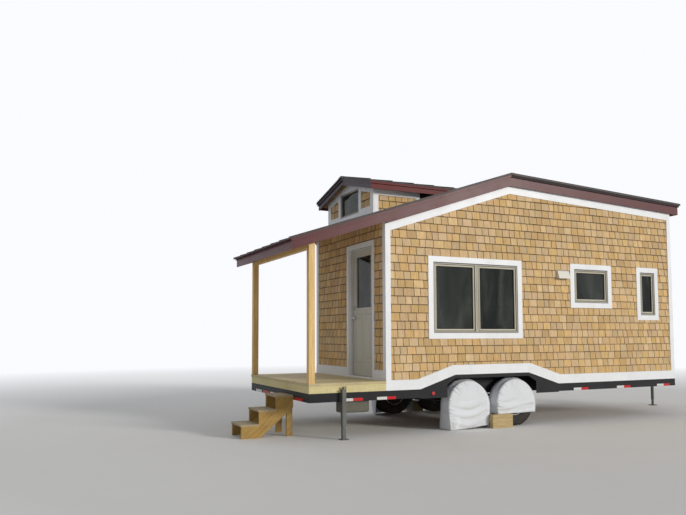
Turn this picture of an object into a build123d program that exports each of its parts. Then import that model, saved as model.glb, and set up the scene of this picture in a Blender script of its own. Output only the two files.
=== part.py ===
from build123d import *
import math
import os

os.makedirs("parts", exist_ok=True)

# Tiny house on a tandem-axle trailer. All sizes are millimetres, +Z is up.
# While modelling, X = 0 is the face of the porch-end wall's trim, X grows towards the
# tow end, Y = 0 is the face of the near long wall's trim and Z = 0 is the ground.
# Every piece is moved at the end so that the origin lies below the middle of the whole.

# House body
body_width = 2590.0
body_length = 6096.0
trim_thickness = 19.0
wall_thickness = 108.0
trim_width = 89.0

# Roof, measured plumb from its upper surface
ridge_x = 2330.0
ridge_top = 4085.0
rear_fall = 4.0 / 12.0
front_fall = 0.56 / 12.0
covering_depth = 13.0
roof_depth = 112.0
rear_overhang = 252.0
front_overhang = 159.0
rake_overhang = 19.0
fascia_depth = 183.0
porch_fascia_depth = 154.0
fascia_strip_height = 38.0
covering_lap = 36.0
covering_side_lap = 8.0
frieze_reach = 305.0
cut_margin = 500.0
cap_half = 90.0
cap_rise = 22.0
panel_joint = 2.0
joint = 1.0

# Floor and skirt
rail_bottom = 523.0
rail_height = 127.0
floor_depth = 140.0
floor_lining = 12.0
skirt_height = 150.0
skirt_lap = 10.0
skirt_slope_shift = 40.0
base_band_height = 152.0

# Porch
porch_depth = 1219.0
deck_board_thickness = 38.0
deck_board_width = 140.0
deck_board_count = 18
deck_nosing = 8.0
rim_thickness = 38.0
post_size = 89.0
beam_height = 89.0

# Dormer on the rear slope
dormer_drop = 5.0
dormer_fall = 3.0 / 12.0
dormer_face_x = 40.0
dormer_width = 1710.0
dormer_wall_thickness = 80.0
dormer_eave = 132.0
dormer_front_overhang = 102.0
dormer_roof_depth = 78.0
dormer_fascia_depth = 120.0
dormer_frieze_depth = 105.0
dormer_side_frieze_depth = 133.0
dormer_side_end = 885.0
dormer_end_board = 60.0
dormer_corner_width = 110.0
dormer_base_top = 3484.0
dormer_panel_width = 320.0
dormer_window_width = 688.0
dormer_window_bottom = 3440.0
dormer_window_height = 405.0

# Windows of a long wall: distance along the wall, sill height, width and height
window_head = 2585.0
large_window_x = 838.0
large_window_width = 1625.0
large_window_height = 1093.0
large_pane_count = 2
square_window_x = 3692.0
square_window_width = 776.0
square_window_height = 577.0
square_pane_count = 1
narrow_window_x = 5269.0
narrow_window_width = 366.0
narrow_window_height = 775.0
narrow_pane_count = 1
casing_width = 89.0
frame_recess = 6.0
frame_depth = 80.0
frame_border = 30.0
sash_border = 30.0
sash_recess = 12.0
sash_depth = 52.0
mullion_width = 130.0
glass_thickness = 20.0

# Entry door, hinged on the near side and opening into the room
door_y = 420.0
jamb_thickness = 19.0
leaf_width = 803.0
leaf_height = 2030.0
leaf_thickness = 44.0
leaf_gap = 5.0
leaf_setback = 5.0
threshold_height = 25.0
stop_width = 12.0
stop_depth = 10.0
door_casing_width = 64.0
casing_reveal = 6.0
light_width = 500.0
light_height = 820.0
light_top_rail = 130.0
light_frame_width = 28.0
light_frame_proud = 9.0
door_glass_thickness = 20.0
knuckle_radius = 6.0
hinge_pin_radius = 3.0
pin_clearance = 0.05
hinge_length = 90.0
hinge_plate = 2.0
hinge_leaf_width = 30.0
handle_height = 950.0
handle_backset = 70.0

# Vent hood
vent_x = 3306.0
vent_bottom = 2409.0
vent_width = 248.0
vent_height = 147.0
vent_reach = 60.0
vent_skin = 3.0

# Trailer
main_rail_y = 290.0
main_rail_width = 51.0
rail_wall = 5.0
side_rail_flange = 45.0
cross_width = 51.0
cross_height = 76.0
cross_spacing = 610.0
tongue_length = 1150.0
tongue_spread = 1500.0
tongue_beam_width = 51.0
tongue_beam_height = 102.0
coupler_width = 76.0
coupler_length = 300.0
coupler_height = 75.0
ball_radius = 25.5
gusset_thickness = 6.0
gusset_length = 420.0

# Wheels and springs
wheel_middle_x = 1939.0
axle_spacing = 922.0
tyre_radius = 380.0
tyre_width = 235.0
tyre_squash = 8.0
tyre_y = 28.0
rim_radius = 203.0
rim_width = 190.0
rim_skin = 8.0
hub_radius = 75.0
hub_bore = 42.0
axle_radius = 38.0
spring_half = 325.0
spring_width = 45.0
spring_thickness = 28.0
spring_eye = 20.0
spring_bow = 50.0
hanger_length = 60.0
seat_gap = 0.3

# Fenders
fender_width = 290.0
fender_skin = 5.0
fender_rise = 200.0
fender_half_base = 1352.0
fender_half_top = 720.0
fender_lip = 55.0
fender_apron_bottom = 510.0
fender_arch_half = 870.0
fender_arch_step = 150.0

# Fabric wheel covers
cover_skin = 6.0
cover_depth = 235.0
cover_face_y = 10.0
rear_cover_hem = 4.0
front_cover_hem = 205.0

# Stabiliser jacks, steps, blocks and other fittings
jack_x = -712.0
jack_tube = 60.0
jack_wall = 4.0
jack_offset = 15.0
jack_top = 700.0
jack_tube_bottom = 180.0
jack_foot_size = 120.0
jack_foot_thickness = 8.0
jack_leg_top = 470.0
crank_radius = 14.0
crank_rise = 30.0
crank_arm = 44.0
crank_knob = 8.0
block_length = 388.0
block_height = 208.0
block_depth = 89.0
block_x = 1860.0
tongue_jack_radius = 30.0
tongue_jack_top = 905.0
tongue_tube_bottom = 120.0
tongue_foot_radius = 80.0
tongue_foot_thickness = 12.0
crown_height = 40.0
tongue_arm = 180.0
tongue_arm_size = 18.0
tongue_knob = 88.0
tank_x = -690.0
tank_length = 450.0
tank_y = 62.0
tank_depth = 215.0
tank_bottom = 353.0
marker_inset = 220.0
marker_z = 580.0
marker_radius = 28.0
marker_depth = 16.0
step_y = 605.0
step_width = 480.0
step_count = 3
step_run = 260.0
step_nosing = 10.0
tread_thickness = 28.0
stringer_thickness = 38.0
stringer_toe = 278.0
stringer_back_drop = 153.0
step_leg_width = 89.0
step_leg_x = -1320.0

# Sizes that follow from the ones above
rail_top = rail_bottom + rail_height
floor_top = rail_top + floor_depth
wall_in = trim_thickness + wall_thickness
roof_total = covering_depth + roof_depth
rear_edge = -porch_depth - rear_overhang
front_edge = body_length + front_overhang
step_front = -porch_depth - step_count * step_run
coupler_nose = body_length + tongue_length + coupler_length
origin_x = (step_front - step_nosing + coupler_nose) / 2
seat = Pos(-origin_x, -body_width / 2, 0)


def top_at(x):
    """Height of the roof covering's upper surface at x."""
    if x < ridge_x:
        return ridge_top - rear_fall * (ridge_x - x)
    return ridge_top - front_fall * (x - ridge_x)


def block(x0, x1, y0, y1, z0, z1):
    """A rectangular block between two corners."""
    return Pos((x0 + x1) / 2, (y0 + y1) / 2, (z0 + z1) / 2) * Box(x1 - x0, y1 - y0, z1 - z0)


def side_plate(points, y0, y1):
    """An outline in X and Z, given a thickness along Y."""
    outline = make_face(Polyline(*[(x, y0, z) for x, z in points], close=True))
    return extrude(outline, amount=y1 - y0, dir=(0, 1, 0))


def end_plate(points, x0, x1):
    """An outline in Y and Z, given a thickness along X."""
    outline = make_face(Polyline(*[(x0, y, z) for y, z in points], close=True))
    return extrude(outline, amount=x1 - x0, dir=(1, 0, 0))


def plan_plate(points, z0, z1):
    """An outline in X and Y, given a thickness along Z."""
    outline = make_face(Polyline(*[(x, y, z0) for x, y in points], close=True))
    return extrude(outline, amount=z1 - z0, dir=(0, 0, 1))


def across(piece):
    """The same piece on the far side of the house."""
    return mirror(piece, about=Plane(origin=(0, body_width / 2, 0), z_dir=(0, 1, 0)))


def round_y(x, y0, y1, z, radius):
    """A cylinder along Y."""
    return Pos(x, (y0 + y1) / 2, z) * Rot(90, 0, 0) * Cylinder(radius, y1 - y0)


def roof_band(x0, x1, upper, lower, y0, y1):
    """The layer of the roof between two plumb depths, from x0 to x1."""
    stations = [x0] + ([ridge_x] if x0 < ridge_x < x1 else []) + [x1]
    points = [(x, top_at(x) - upper) for x in stations]
    if x1 == ridge_x:
        points[-1] = (ridge_x, ridge_top - upper)
    points += [(x, z + upper - lower) for x, z in reversed(points)]
    return side_plate(points, y0, y1)


# Everything below the roof boards, used to cut the tops of walls and trim to the slopes
past_rear = rear_edge - cut_margin
past_front = front_edge + cut_margin
under_roof = side_plate(
    [(past_rear, 0), (past_front, 0), (past_front, top_at(past_front) - roof_total),
     (ridge_x, ridge_top - roof_total), (past_rear, top_at(past_rear) - roof_total)],
    -cut_margin, body_width + cut_margin)

# Everything below the roof's upper surface, used to seat the dormer on it
under_covering = side_plate(
    [(past_rear, 0), (front_edge, 0), (front_edge, top_at(front_edge)),
     (ridge_x, ridge_top), (past_rear, top_at(past_rear))],
    -cut_margin, body_width + cut_margin)
under_flashing = Pos(0, 0, joint) * under_covering

# The raised line over the wheels that floor, walls, skirt and fender share
fender_rear = wheel_middle_x - fender_half_base
fender_front = wheel_middle_x + fender_half_base
fender_top_rear = wheel_middle_x - fender_half_top
fender_top_front = wheel_middle_x + fender_half_top
fender_crown = rail_top + fender_rise
fender_line = [(fender_rear, rail_top), (fender_top_rear, fender_crown),
               (fender_top_front, fender_crown), (fender_front, rail_top)]
wheel_space = side_plate(
    [(fender_rear, rail_bottom)] + fender_line + [(fender_front, rail_bottom)], 0, fender_width)

# Floor
floor = block(0, body_length - trim_thickness, trim_thickness, body_width - trim_thickness, rail_top,
              floor_top)
lining = block(wall_in + joint, body_length - wall_in - joint, wall_in + joint, body_width - wall_in - joint,
               floor_top - joint, floor_top + floor_lining)
floor = floor + lining - wheel_space - across(wheel_space)

# Windows: x, sill, width, height and the number of panes
windows = [
    (large_window_x, window_head - large_window_height, large_window_width, large_window_height,
     large_pane_count),
    (square_window_x, window_head - square_window_height, square_window_width, square_window_height,
     square_pane_count),
    (narrow_window_x, window_head - narrow_window_height, narrow_window_width, narrow_window_height,
     narrow_pane_count),
]

# Long walls
near_wall = side_plate(
    [(trim_thickness, floor_top), (body_length - trim_thickness, floor_top),
     (body_length - trim_thickness, top_at(body_length - trim_thickness) - roof_total),
     (ridge_x, ridge_top - roof_total), (trim_thickness, top_at(trim_thickness) - roof_total)],
    trim_thickness, wall_in)
near_wall -= wheel_space
for x, sill, width, height, panes in windows:
    near_wall -= block(x, x + width, 0, wall_in + 10, sill, sill + height)
wall_break = fender_crown + skirt_height
wall_courses = [
    block(0, body_length, 0, wall_in, wall_break + joint, ridge_top),
    block(0, fender_top_rear - joint, 0, wall_in, floor_top, wall_break),
    block(fender_top_rear, fender_top_front, 0, wall_in, floor_top, wall_break),
    block(fender_top_front + joint, body_length, 0, wall_in, floor_top, wall_break)]
near_panels = [near_wall & course for course in wall_courses]
long_walls = near_panels + [across(panel) for panel in near_panels]

# Porch-end wall, in three pieces around the doorway
door_opening = leaf_width + 2 * leaf_gap + 2 * jamb_thickness
door_far = door_y + door_opening
leaf_bottom = floor_top + threshold_height + leaf_gap
leaf_top = leaf_bottom + leaf_height
door_head = leaf_top + leaf_gap + jamb_thickness
inner_near = wall_in
inner_far = body_width - wall_in
porch_walls = [block(trim_thickness, wall_in, inner_near, door_y, floor_top, ridge_top) & under_roof,
               block(trim_thickness, wall_in, door_far, inner_far, floor_top, ridge_top) & under_roof,
               block(trim_thickness, wall_in, door_y + joint, door_far - joint, door_head,
                     ridge_top) & under_roof]
tow_wall = block(body_length - wall_in, body_length - trim_thickness, inner_near, inner_far, floor_top,
                 ridge_top) & under_roof

# Dormer outline: two slopes meeting over the middle of the house
middle_y = body_width / 2
dormer_top = ridge_top - dormer_drop
dormer_half = dormer_width / 2
dormer_reach = dormer_half + dormer_eave
dormer_total = covering_depth + dormer_roof_depth
dormer_near = middle_y - dormer_half
dormer_front_edge = dormer_face_x - dormer_front_overhang
dormer_sheath_x = dormer_face_x + trim_thickness
dormer_in_x = dormer_sheath_x + dormer_wall_thickness
dormer_in_y = dormer_near + trim_thickness + dormer_wall_thickness
cap_rear = ridge_x - cap_half
cap_front = ridge_x + cap_half
dormer_back = cap_rear - panel_joint


def dormer_at(y):
    """Height of the dormer's upper surface at y."""
    return dormer_top - dormer_fall * abs(y - middle_y)


def dormer_slope(y0, y1, upper, lower, x0, x1):
    """A layer of the dormer's near slope between two plumb depths."""
    return end_plate(
        [(y0, dormer_at(y0) - upper), (y1, dormer_at(y1) - upper), (y1, dormer_at(y1) - lower),
         (y0, dormer_at(y0) - lower)], x0, x1)


def valley_x(y):
    """Where the dormer roof's underside meets the main roof's upper surface."""
    return ridge_x - (ridge_top - dormer_at(y) + dormer_total) / rear_fall


# The hole in the rear slope below the dormer
dormer_hole = plan_plate(
    [(dormer_in_x, dormer_in_y), (valley_x(dormer_in_y), dormer_in_y), (valley_x(middle_y), middle_y),
     (valley_x(dormer_in_y), body_width - dormer_in_y), (dormer_in_x, body_width - dormer_in_y)], 0,
     ridge_top + 100)


# Roof panels: over the porch, beside the dormer, above the dormer and over the front slope
roof_near = -rake_overhang
roof_far = body_width + rake_overhang
porch_roof = roof_band(rear_edge, dormer_in_x, covering_depth, roof_total, roof_near, roof_far)
roof_strip = roof_band(dormer_in_x + panel_joint, ridge_x - panel_joint, covering_depth, roof_total,
                       roof_near,
                       dormer_in_y - panel_joint)
roof_head = roof_band(dormer_in_x + panel_joint, ridge_x - panel_joint, covering_depth, roof_total,
                      dormer_in_y,
                      body_width - dormer_in_y) - dormer_hole
front_roof = roof_band(ridge_x, front_edge, covering_depth, roof_total, roof_near, roof_far)
roof_panels = [porch_roof, roof_strip, across(roof_strip), roof_head, front_roof]

# Covering: one sheet a slope, open under the dormer, and two sheets on the dormer
cover_reach = 2 * trim_thickness + covering_side_lap
cover_near = roof_near - cover_reach
cover_far = body_width - cover_near
end_reach = 2 * trim_thickness + covering_lap
rear_cover = roof_band(rear_edge - end_reach, ridge_x - panel_joint, 0, covering_depth, cover_near, cover_far)
rear_cover -= dormer_hole
front_cover = roof_band(ridge_x, front_edge + end_reach, 0, covering_depth, cover_near, cover_far)
dormer_edge = middle_y - dormer_reach
dormer_cover = dormer_slope(dormer_edge - 2 * trim_thickness - covering_side_lap, middle_y - panel_joint / 2,
                            0, covering_depth, dormer_front_edge - end_reach + covering_lap / 2, dormer_back)
dormer_cover -= under_flashing
roof_covering = [rear_cover, front_cover, dormer_cover, across(dormer_cover)]

# Ridge caps over the main ridge and the dormer's
main_cap = side_plate(
    [(cap_rear, top_at(cap_rear)), (ridge_x, ridge_top), (cap_front, top_at(cap_front)),
     (cap_front, top_at(cap_front) + cap_rise), (ridge_x, ridge_top + cap_rise),
     (cap_rear, top_at(cap_rear) + cap_rise)],
    cover_near, cover_far)
cap_near = middle_y - cap_half
dormer_cap = end_plate(
    [(cap_near, dormer_at(cap_near)), (middle_y, dormer_top), (middle_y + cap_half, dormer_at(cap_near)),
     (middle_y + cap_half, dormer_at(cap_near) + cap_rise), (middle_y, dormer_top + cap_rise),
     (cap_near, dormer_at(cap_near) + cap_rise)],
    dormer_front_edge - end_reach + covering_lap / 2, dormer_back)
ridge_caps = [main_cap, dormer_cap]

# Dormer roof boards
dormer_roof = dormer_slope(dormer_edge, middle_y - panel_joint / 2, covering_depth, dormer_total,
                           dormer_front_edge, dormer_back) - under_covering

# Dormer front wall with its window
dormer_window_near = middle_y - dormer_window_width / 2
dormer_window_far = middle_y + dormer_window_width / 2
dormer_window_top = dormer_window_bottom + dormer_window_height
gable = [(dormer_near + trim_thickness, 0), (body_width - dormer_near - trim_thickness, 0),
         (body_width - dormer_near - trim_thickness, dormer_at(dormer_near + trim_thickness) - dormer_total),
         (middle_y, dormer_top - dormer_total),
         (dormer_near + trim_thickness, dormer_at(dormer_near + trim_thickness) - dormer_total)]
dormer_front = end_plate(gable, dormer_sheath_x, dormer_in_x) - under_covering
dormer_front -= block(0, dormer_in_x + 10, dormer_window_near, dormer_window_far, dormer_window_bottom,
                      dormer_window_top)

# Dormer side walls
dormer_side = block(dormer_in_x + joint, ridge_x, dormer_near + trim_thickness, dormer_in_y, 0, ridge_top)
dormer_under = end_plate(
    [(dormer_edge - cut_margin, 0), (middle_y, 0), (middle_y, dormer_top - dormer_total),
     (dormer_edge - cut_margin, dormer_at(dormer_edge - cut_margin) - dormer_total)], dormer_front_edge,
     ridge_x)
dormer_side = (dormer_side & dormer_under) - under_covering
dormer_walls = [dormer_front, dormer_side, across(dormer_side)]

# Dormer trim: a face board with two shingled panels and the window cut through it,
# turned round both corners and along the tops of the side walls
face_outline = [(dormer_near, 0), (body_width - dormer_near, 0),
                (body_width - dormer_near, dormer_at(dormer_near) - dormer_total),
                (middle_y, dormer_top - dormer_total), (dormer_near, dormer_at(dormer_near) - dormer_total)]
face_trim = end_plate(face_outline, dormer_face_x, dormer_sheath_x) - under_covering
panel_near = dormer_near + dormer_corner_width
panel_far = panel_near + dormer_panel_width
panel = end_plate(
    [(panel_near, dormer_base_top), (panel_far, dormer_base_top),
     (panel_far, dormer_at(panel_far) - dormer_total - dormer_frieze_depth),
     (panel_near, dormer_at(panel_near) - dormer_total - dormer_frieze_depth)],
    dormer_face_x - 5, dormer_sheath_x + 5)
face_trim -= panel
face_trim -= across(panel)
face_trim -= block(dormer_face_x - 5, dormer_sheath_x + 5, dormer_window_near, dormer_window_far,
                   dormer_window_bottom, dormer_window_top)
side_trim = block(dormer_sheath_x + joint, dormer_side_end, dormer_near, dormer_near + trim_thickness,
                  0, ridge_top)
side_trim &= dormer_under
side_trim -= block(dormer_sheath_x + trim_width - trim_thickness, dormer_side_end - dormer_end_board,
                   dormer_near - 5,
                   dormer_near + trim_thickness + 5, 0,
                   dormer_at(dormer_near) - dormer_total - dormer_side_frieze_depth)
side_trim -= under_covering
dormer_trim = [face_trim, side_trim, across(side_trim)]

# Dormer fascia: plumb boards with an upper strip, along the eaves and up the front rakes
def dormer_rake(y0, depth, x0, x1):
    """One board up the near front rake of the dormer."""
    return end_plate(
        [(y0, dormer_at(y0) - covering_depth), (middle_y, dormer_top - covering_depth),
         (middle_y, dormer_top - covering_depth - depth), (y0, dormer_at(y0) - covering_depth - depth)],
         x0, x1)


fascia_out = dormer_edge - trim_thickness
strip_out = fascia_out - trim_thickness
rake_face = dormer_front_edge - trim_thickness
strip_face = rake_face - trim_thickness
near_rake = dormer_rake(fascia_out, dormer_fascia_depth, rake_face, dormer_front_edge - joint)
near_rake += dormer_rake(strip_out, fascia_strip_height, strip_face, rake_face)
eave_foot = dormer_at(dormer_edge) - covering_depth - dormer_fascia_depth
dormer_under_cover = end_plate(
    [(strip_out - 10, 0), (middle_y, 0), (middle_y, dormer_top - covering_depth),
     (strip_out - 10, dormer_at(strip_out - 10) - covering_depth)], strip_face, ridge_x)
dormer_eave_board = block(dormer_front_edge, ridge_x, fascia_out, dormer_edge, eave_foot, ridge_top)
strip_foot = dormer_at(fascia_out) - covering_depth - fascia_strip_height
dormer_eave_board += block(rake_face + joint, ridge_x, strip_out, fascia_out, strip_foot, ridge_top)
dormer_eave_board = (dormer_eave_board & dormer_under_cover) - under_covering
dormer_fascia = [near_rake + across(near_rake), dormer_eave_board, across(dormer_eave_board)]


# Main fascia: boards on the rakes, a shallower length over the porch, boards across both ends
def rake_board(x0, x1, depth):
    """A rake board on the near side."""
    return roof_band(x0, x1, covering_depth, covering_depth + depth, roof_near - trim_thickness, roof_near)


def rake_strip(x0, x1):
    """The upper strip of a rake on the near side."""
    return roof_band(x0, x1, covering_depth, covering_depth + fascia_strip_height,
                     roof_near - 2 * trim_thickness, roof_near - trim_thickness)


near_fascia = rake_board(rear_edge + joint, 0, porch_fascia_depth) + rake_board(0, ridge_x, fascia_depth)
near_fascia += rake_board(ridge_x, front_edge - joint, fascia_depth)
near_fascia += rake_strip(rear_edge - trim_thickness + joint, ridge_x)
near_fascia += rake_strip(ridge_x, front_edge + trim_thickness - joint)
rear_eave = block(rear_edge - trim_thickness, rear_edge, roof_near - trim_thickness,
                  roof_far + trim_thickness,
                  top_at(rear_edge) - covering_depth - porch_fascia_depth, ridge_top)
rear_eave += block(rear_edge - 2 * trim_thickness, rear_edge - trim_thickness, roof_near - 2 * trim_thickness,
                   roof_far + 2 * trim_thickness,
                   top_at(rear_edge) - covering_depth - fascia_strip_height, ridge_top)
front_eave = block(front_edge, front_edge + trim_thickness, roof_near - trim_thickness,
                   roof_far + trim_thickness, top_at(front_edge) - covering_depth - fascia_depth, ridge_top)
front_eave += block(front_edge + trim_thickness, front_edge + 2 * trim_thickness,
                    roof_near - 2 * trim_thickness,
                    roof_far + 2 * trim_thickness,
                    top_at(front_edge) - covering_depth - fascia_strip_height, ridge_top)
roof_boards = side_plate(
    [(past_rear, 0), (past_front, 0), (past_front, top_at(past_front) - covering_depth),
     (ridge_x, ridge_top - covering_depth), (past_rear, top_at(past_rear) - covering_depth)],
    -cut_margin, body_width + cut_margin)
fascia_boards = [near_fascia, across(near_fascia), rear_eave & roof_boards, front_eave & roof_boards]

# Frieze boards under the rakes and across the tow end
near_frieze = roof_band(0, body_length, roof_total, covering_depth + frieze_reach, 0, trim_thickness)
tow_near = trim_thickness + joint
tow_far = body_width - tow_near
tow_frieze = block(body_length - trim_thickness, body_length, tow_near, tow_far,
                   top_at(body_length) - covering_depth - frieze_reach, ridge_top) & under_roof
frieze_boards = [near_frieze, across(near_frieze), tow_frieze]

# Skirt boards that step over the wheels, a band across the tow end and the porch wall's base bands
skirt_top = floor_top + skirt_lap
skirt_crown = fender_crown + skirt_height
skirt_points = [(0, rail_top)] + fender_line + [
    (body_length, rail_top), (body_length, skirt_top), (fender_front + skirt_slope_shift, skirt_top),
    (fender_top_front + skirt_slope_shift, skirt_crown), (fender_top_rear - skirt_slope_shift, skirt_crown),
    (fender_rear - skirt_slope_shift, skirt_top), (0, skirt_top)]
skirt_lower = skirt_points[:6]
skirt_upper = skirt_points[:5:-1]
skirt_whole = side_plate(skirt_points, 0, trim_thickness)
for low, high in zip(skirt_lower[1:5], skirt_upper[1:5]):
    skirt_whole -= side_plate(
        [(low[0] - joint / 2, low[1] - joint), (low[0] + joint / 2, low[1] - joint),
         (high[0] + joint / 2, high[1] + joint), (high[0] - joint / 2, high[1] + joint)],
        -1, trim_thickness + 1)
near_skirt = list(skirt_whole.solids())
tow_skirt = block(body_length - trim_thickness, body_length, tow_near, tow_far, rail_top, skirt_top)
casing_near = door_y + jamb_thickness - casing_reveal - door_casing_width
casing_far = door_far - jamb_thickness + casing_reveal + door_casing_width
band_top = floor_top + base_band_height
base_bands = [block(0, trim_thickness, trim_width, casing_near, floor_top, band_top),
              block(0, trim_thickness, casing_far, body_width - trim_width, floor_top, band_top)]
skirt_boards = near_skirt + [across(board) for board in near_skirt] + [tow_skirt] + base_bands

# Corner boards, one folded pair at each corner
corner_plan = [(0, 0), (trim_width, 0), (trim_width, trim_thickness), (trim_thickness, trim_thickness),
               (trim_thickness, trim_width), (0, trim_width)]
corner = plan_plate(corner_plan, floor_top, ridge_top) & under_roof
tow_plan = [(body_length - x, y) for x, y in reversed(corner_plan)]
tow_corner = plan_plate(tow_plan, floor_top, ridge_top) & under_roof
corners = [corner, tow_corner, across(corner), across(tow_corner)]
corner_boards = [c - frieze_boards - skirt_boards for c in corners]

# Window frames, casings and glass of one long wall, repeated on the other
near_frames = []
near_casings = []
near_glass = []
for x, sill, width, height, panes in windows:
    head = sill + height
    face = frame_recess
    frame = block(x, x + width, face, face + frame_depth, sill, head)
    frame -= block(x + frame_border, x + width - frame_border, face - 1, face + frame_depth + 1,
                   sill + frame_border, head - frame_border)
    sash = block(x + frame_border, x + width - frame_border, face + sash_recess,
                 face + sash_recess + sash_depth,
                 sill + frame_border, head - frame_border)
    border = frame_border + sash_border
    pane_width = (width - 2 * border - (panes - 1) * mullion_width) / panes
    glass_y = face + sash_recess + (sash_depth - glass_thickness) / 2
    for pane in range(panes):
        pane_x = x + border + pane * (pane_width + mullion_width)
        sash -= block(pane_x, pane_x + pane_width, 0, wall_in, sill + border, head - border)
        near_glass.append(block(pane_x, pane_x + pane_width, glass_y, glass_y + glass_thickness,
                                sill + border, head - border))
    near_frames.append(frame + sash)
    casing = block(x - casing_width, x + width + casing_width, 0, trim_thickness,
                   sill - casing_width, head + casing_width)
    near_casings.append(casing - block(x, x + width, -1, trim_thickness + 1, sill, head))

# Dormer window
dormer_frame = block(dormer_face_x + frame_recess, dormer_face_x + frame_recess + frame_depth,
                     dormer_window_near, dormer_window_far, dormer_window_bottom, dormer_window_top)
dormer_frame -= block(0, dormer_in_x + 10, dormer_window_near + frame_border,
                      dormer_window_far - frame_border,
                      dormer_window_bottom + frame_border, dormer_window_top - frame_border)
dormer_glass_x = dormer_face_x + frame_recess + (frame_depth - glass_thickness) / 2
dormer_glass = block(dormer_glass_x, dormer_glass_x + glass_thickness, dormer_window_near + frame_border,
                     dormer_window_far - frame_border, dormer_window_bottom + frame_border,
                     dormer_window_top - frame_border)
window_frames = near_frames + [across(f) for f in near_frames] + [dormer_frame]
window_glass = near_glass + [across(g) for g in near_glass] + [dormer_glass]

# Doorway: casing, frame with stop and threshold
casing_head = door_head - jamb_thickness + casing_reveal + door_casing_width
door_casing = block(0, trim_thickness, casing_near, casing_far, floor_top, casing_head)
door_casing -= block(-1, trim_thickness + 1, casing_near + door_casing_width, casing_far - door_casing_width,
                     floor_top - 1, casing_head - door_casing_width)
casings = near_casings + [across(c) for c in near_casings] + [door_casing]
clear_near = door_y + jamb_thickness
clear_far = door_far - jamb_thickness
clear_head = door_head - jamb_thickness
leaf_face = wall_in - leaf_setback
leaf_back = leaf_face - leaf_thickness
stop_x = leaf_back - leaf_gap
door_frame = block(trim_thickness, wall_in, door_y, door_far, floor_top, door_head)
door_frame -= block(trim_thickness - 1, wall_in + 1, clear_near, clear_far,
                    floor_top + threshold_height, clear_head)
door_stop = block(stop_x - stop_depth, stop_x, clear_near, clear_far, floor_top + threshold_height,
                  clear_head)
door_stop -= block(stop_x - stop_depth - 1, stop_x + 1, clear_near + stop_width, clear_far - stop_width,
                   floor_top, clear_head - stop_width)
door_frame += door_stop
door_frame += block(0, trim_thickness, casing_near + door_casing_width, casing_far - door_casing_width,
                    floor_top, floor_top + threshold_height)

# Door leaf with its upper light
leaf_near = clear_near + leaf_gap
leaf_far = leaf_near + leaf_width
light_near = (leaf_near + leaf_far - light_width) / 2
light_far = light_near + light_width
light_head = leaf_top - light_top_rail
light_sill = light_head - light_height
handle_y = leaf_far - handle_backset
handle_z = floor_top + handle_height
spindle_place = Pos((leaf_back + leaf_face) / 2, handle_y, handle_z) * Rot(0, 90, 0)
spindle_hole = spindle_place * Cylinder(10, leaf_thickness + 2)
door_leaf = block(leaf_back, leaf_face, leaf_near, leaf_far, leaf_bottom, leaf_top)
light_frame = block(leaf_back - light_frame_proud, leaf_face + light_frame_proud,
                    light_near - light_frame_width,
                    light_far + light_frame_width, light_sill - light_frame_width,
                    light_head + light_frame_width)
door_leaf += light_frame
door_leaf -= block(leaf_back - 20, leaf_face + 20, light_near, light_far, light_sill, light_head)
door_leaf -= spindle_hole
glass_mid = (leaf_back + leaf_face) / 2
door_glass = block(glass_mid - door_glass_thickness / 2, glass_mid + door_glass_thickness / 2, light_near,
                   light_far, light_sill, light_head)


def lever(x0, outward):
    """A rose with a lever turned towards the hinges."""
    rose = Pos(x0 + outward * 4, handle_y, handle_z) * Rot(0, 90, 0) * Cylinder(28, 8)
    neck = Pos(x0 + outward * 26, handle_y, handle_z) * Rot(0, 90, 0) * Cylinder(9, 36)
    arm = Pos(x0 + outward * 44, handle_y - 50, handle_z) * Box(12, 120, 20)
    return rose + neck + fillet(arm.edges(), 5)


door_handle = lever(leaf_back, -1) + lever(leaf_face, 1)
door_handle += Pos(glass_mid, handle_y, handle_z) * Rot(0, 90, 0) * Cylinder(8, leaf_thickness)

# Hinges on the room side of the near jamb: outer knuckles and pin on the frame, the middle one on the leaf
hinge_x = wall_in + knuckle_radius
hinge_y = clear_near + leaf_gap / 2
hinge_levels = [leaf_bottom + 200, (leaf_bottom + leaf_top) / 2, leaf_top - 200]
door_hinges = []
leaf_hinges = []
for level in hinge_levels:
    third = hinge_length / 6
    frame_part = Pos(hinge_x, hinge_y, level) * Cylinder(knuckle_radius, hinge_length)
    frame_part += block(wall_in, wall_in + hinge_plate, door_y + 2, hinge_y, level - 3 * third,
                        level + 3 * third)
    frame_part -= block(wall_in - 1, hinge_x + knuckle_radius + 1, hinge_y - knuckle_radius - 1,
                        hinge_y + knuckle_radius + 1, level - third - seat_gap, level + third + seat_gap)
    frame_part += Pos(hinge_x, hinge_y, level) * Cylinder(hinge_pin_radius, hinge_length)
    door_hinges.append(frame_part)
    leaf_part = Pos(hinge_x, hinge_y, level) * Cylinder(knuckle_radius, 2 * third)
    leaf_part += block(leaf_face, hinge_x, leaf_near, hinge_y + knuckle_radius, level - third, level + third)
    leaf_part += block(leaf_face, leaf_face + hinge_plate, leaf_near, leaf_near + hinge_leaf_width,
                       level - third,
                       level + third)
    leaf_part -= Pos(hinge_x, hinge_y, level) * Cylinder(hinge_pin_radius + pin_clearance, hinge_length)
    leaf_hinges.append(leaf_part)

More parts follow.
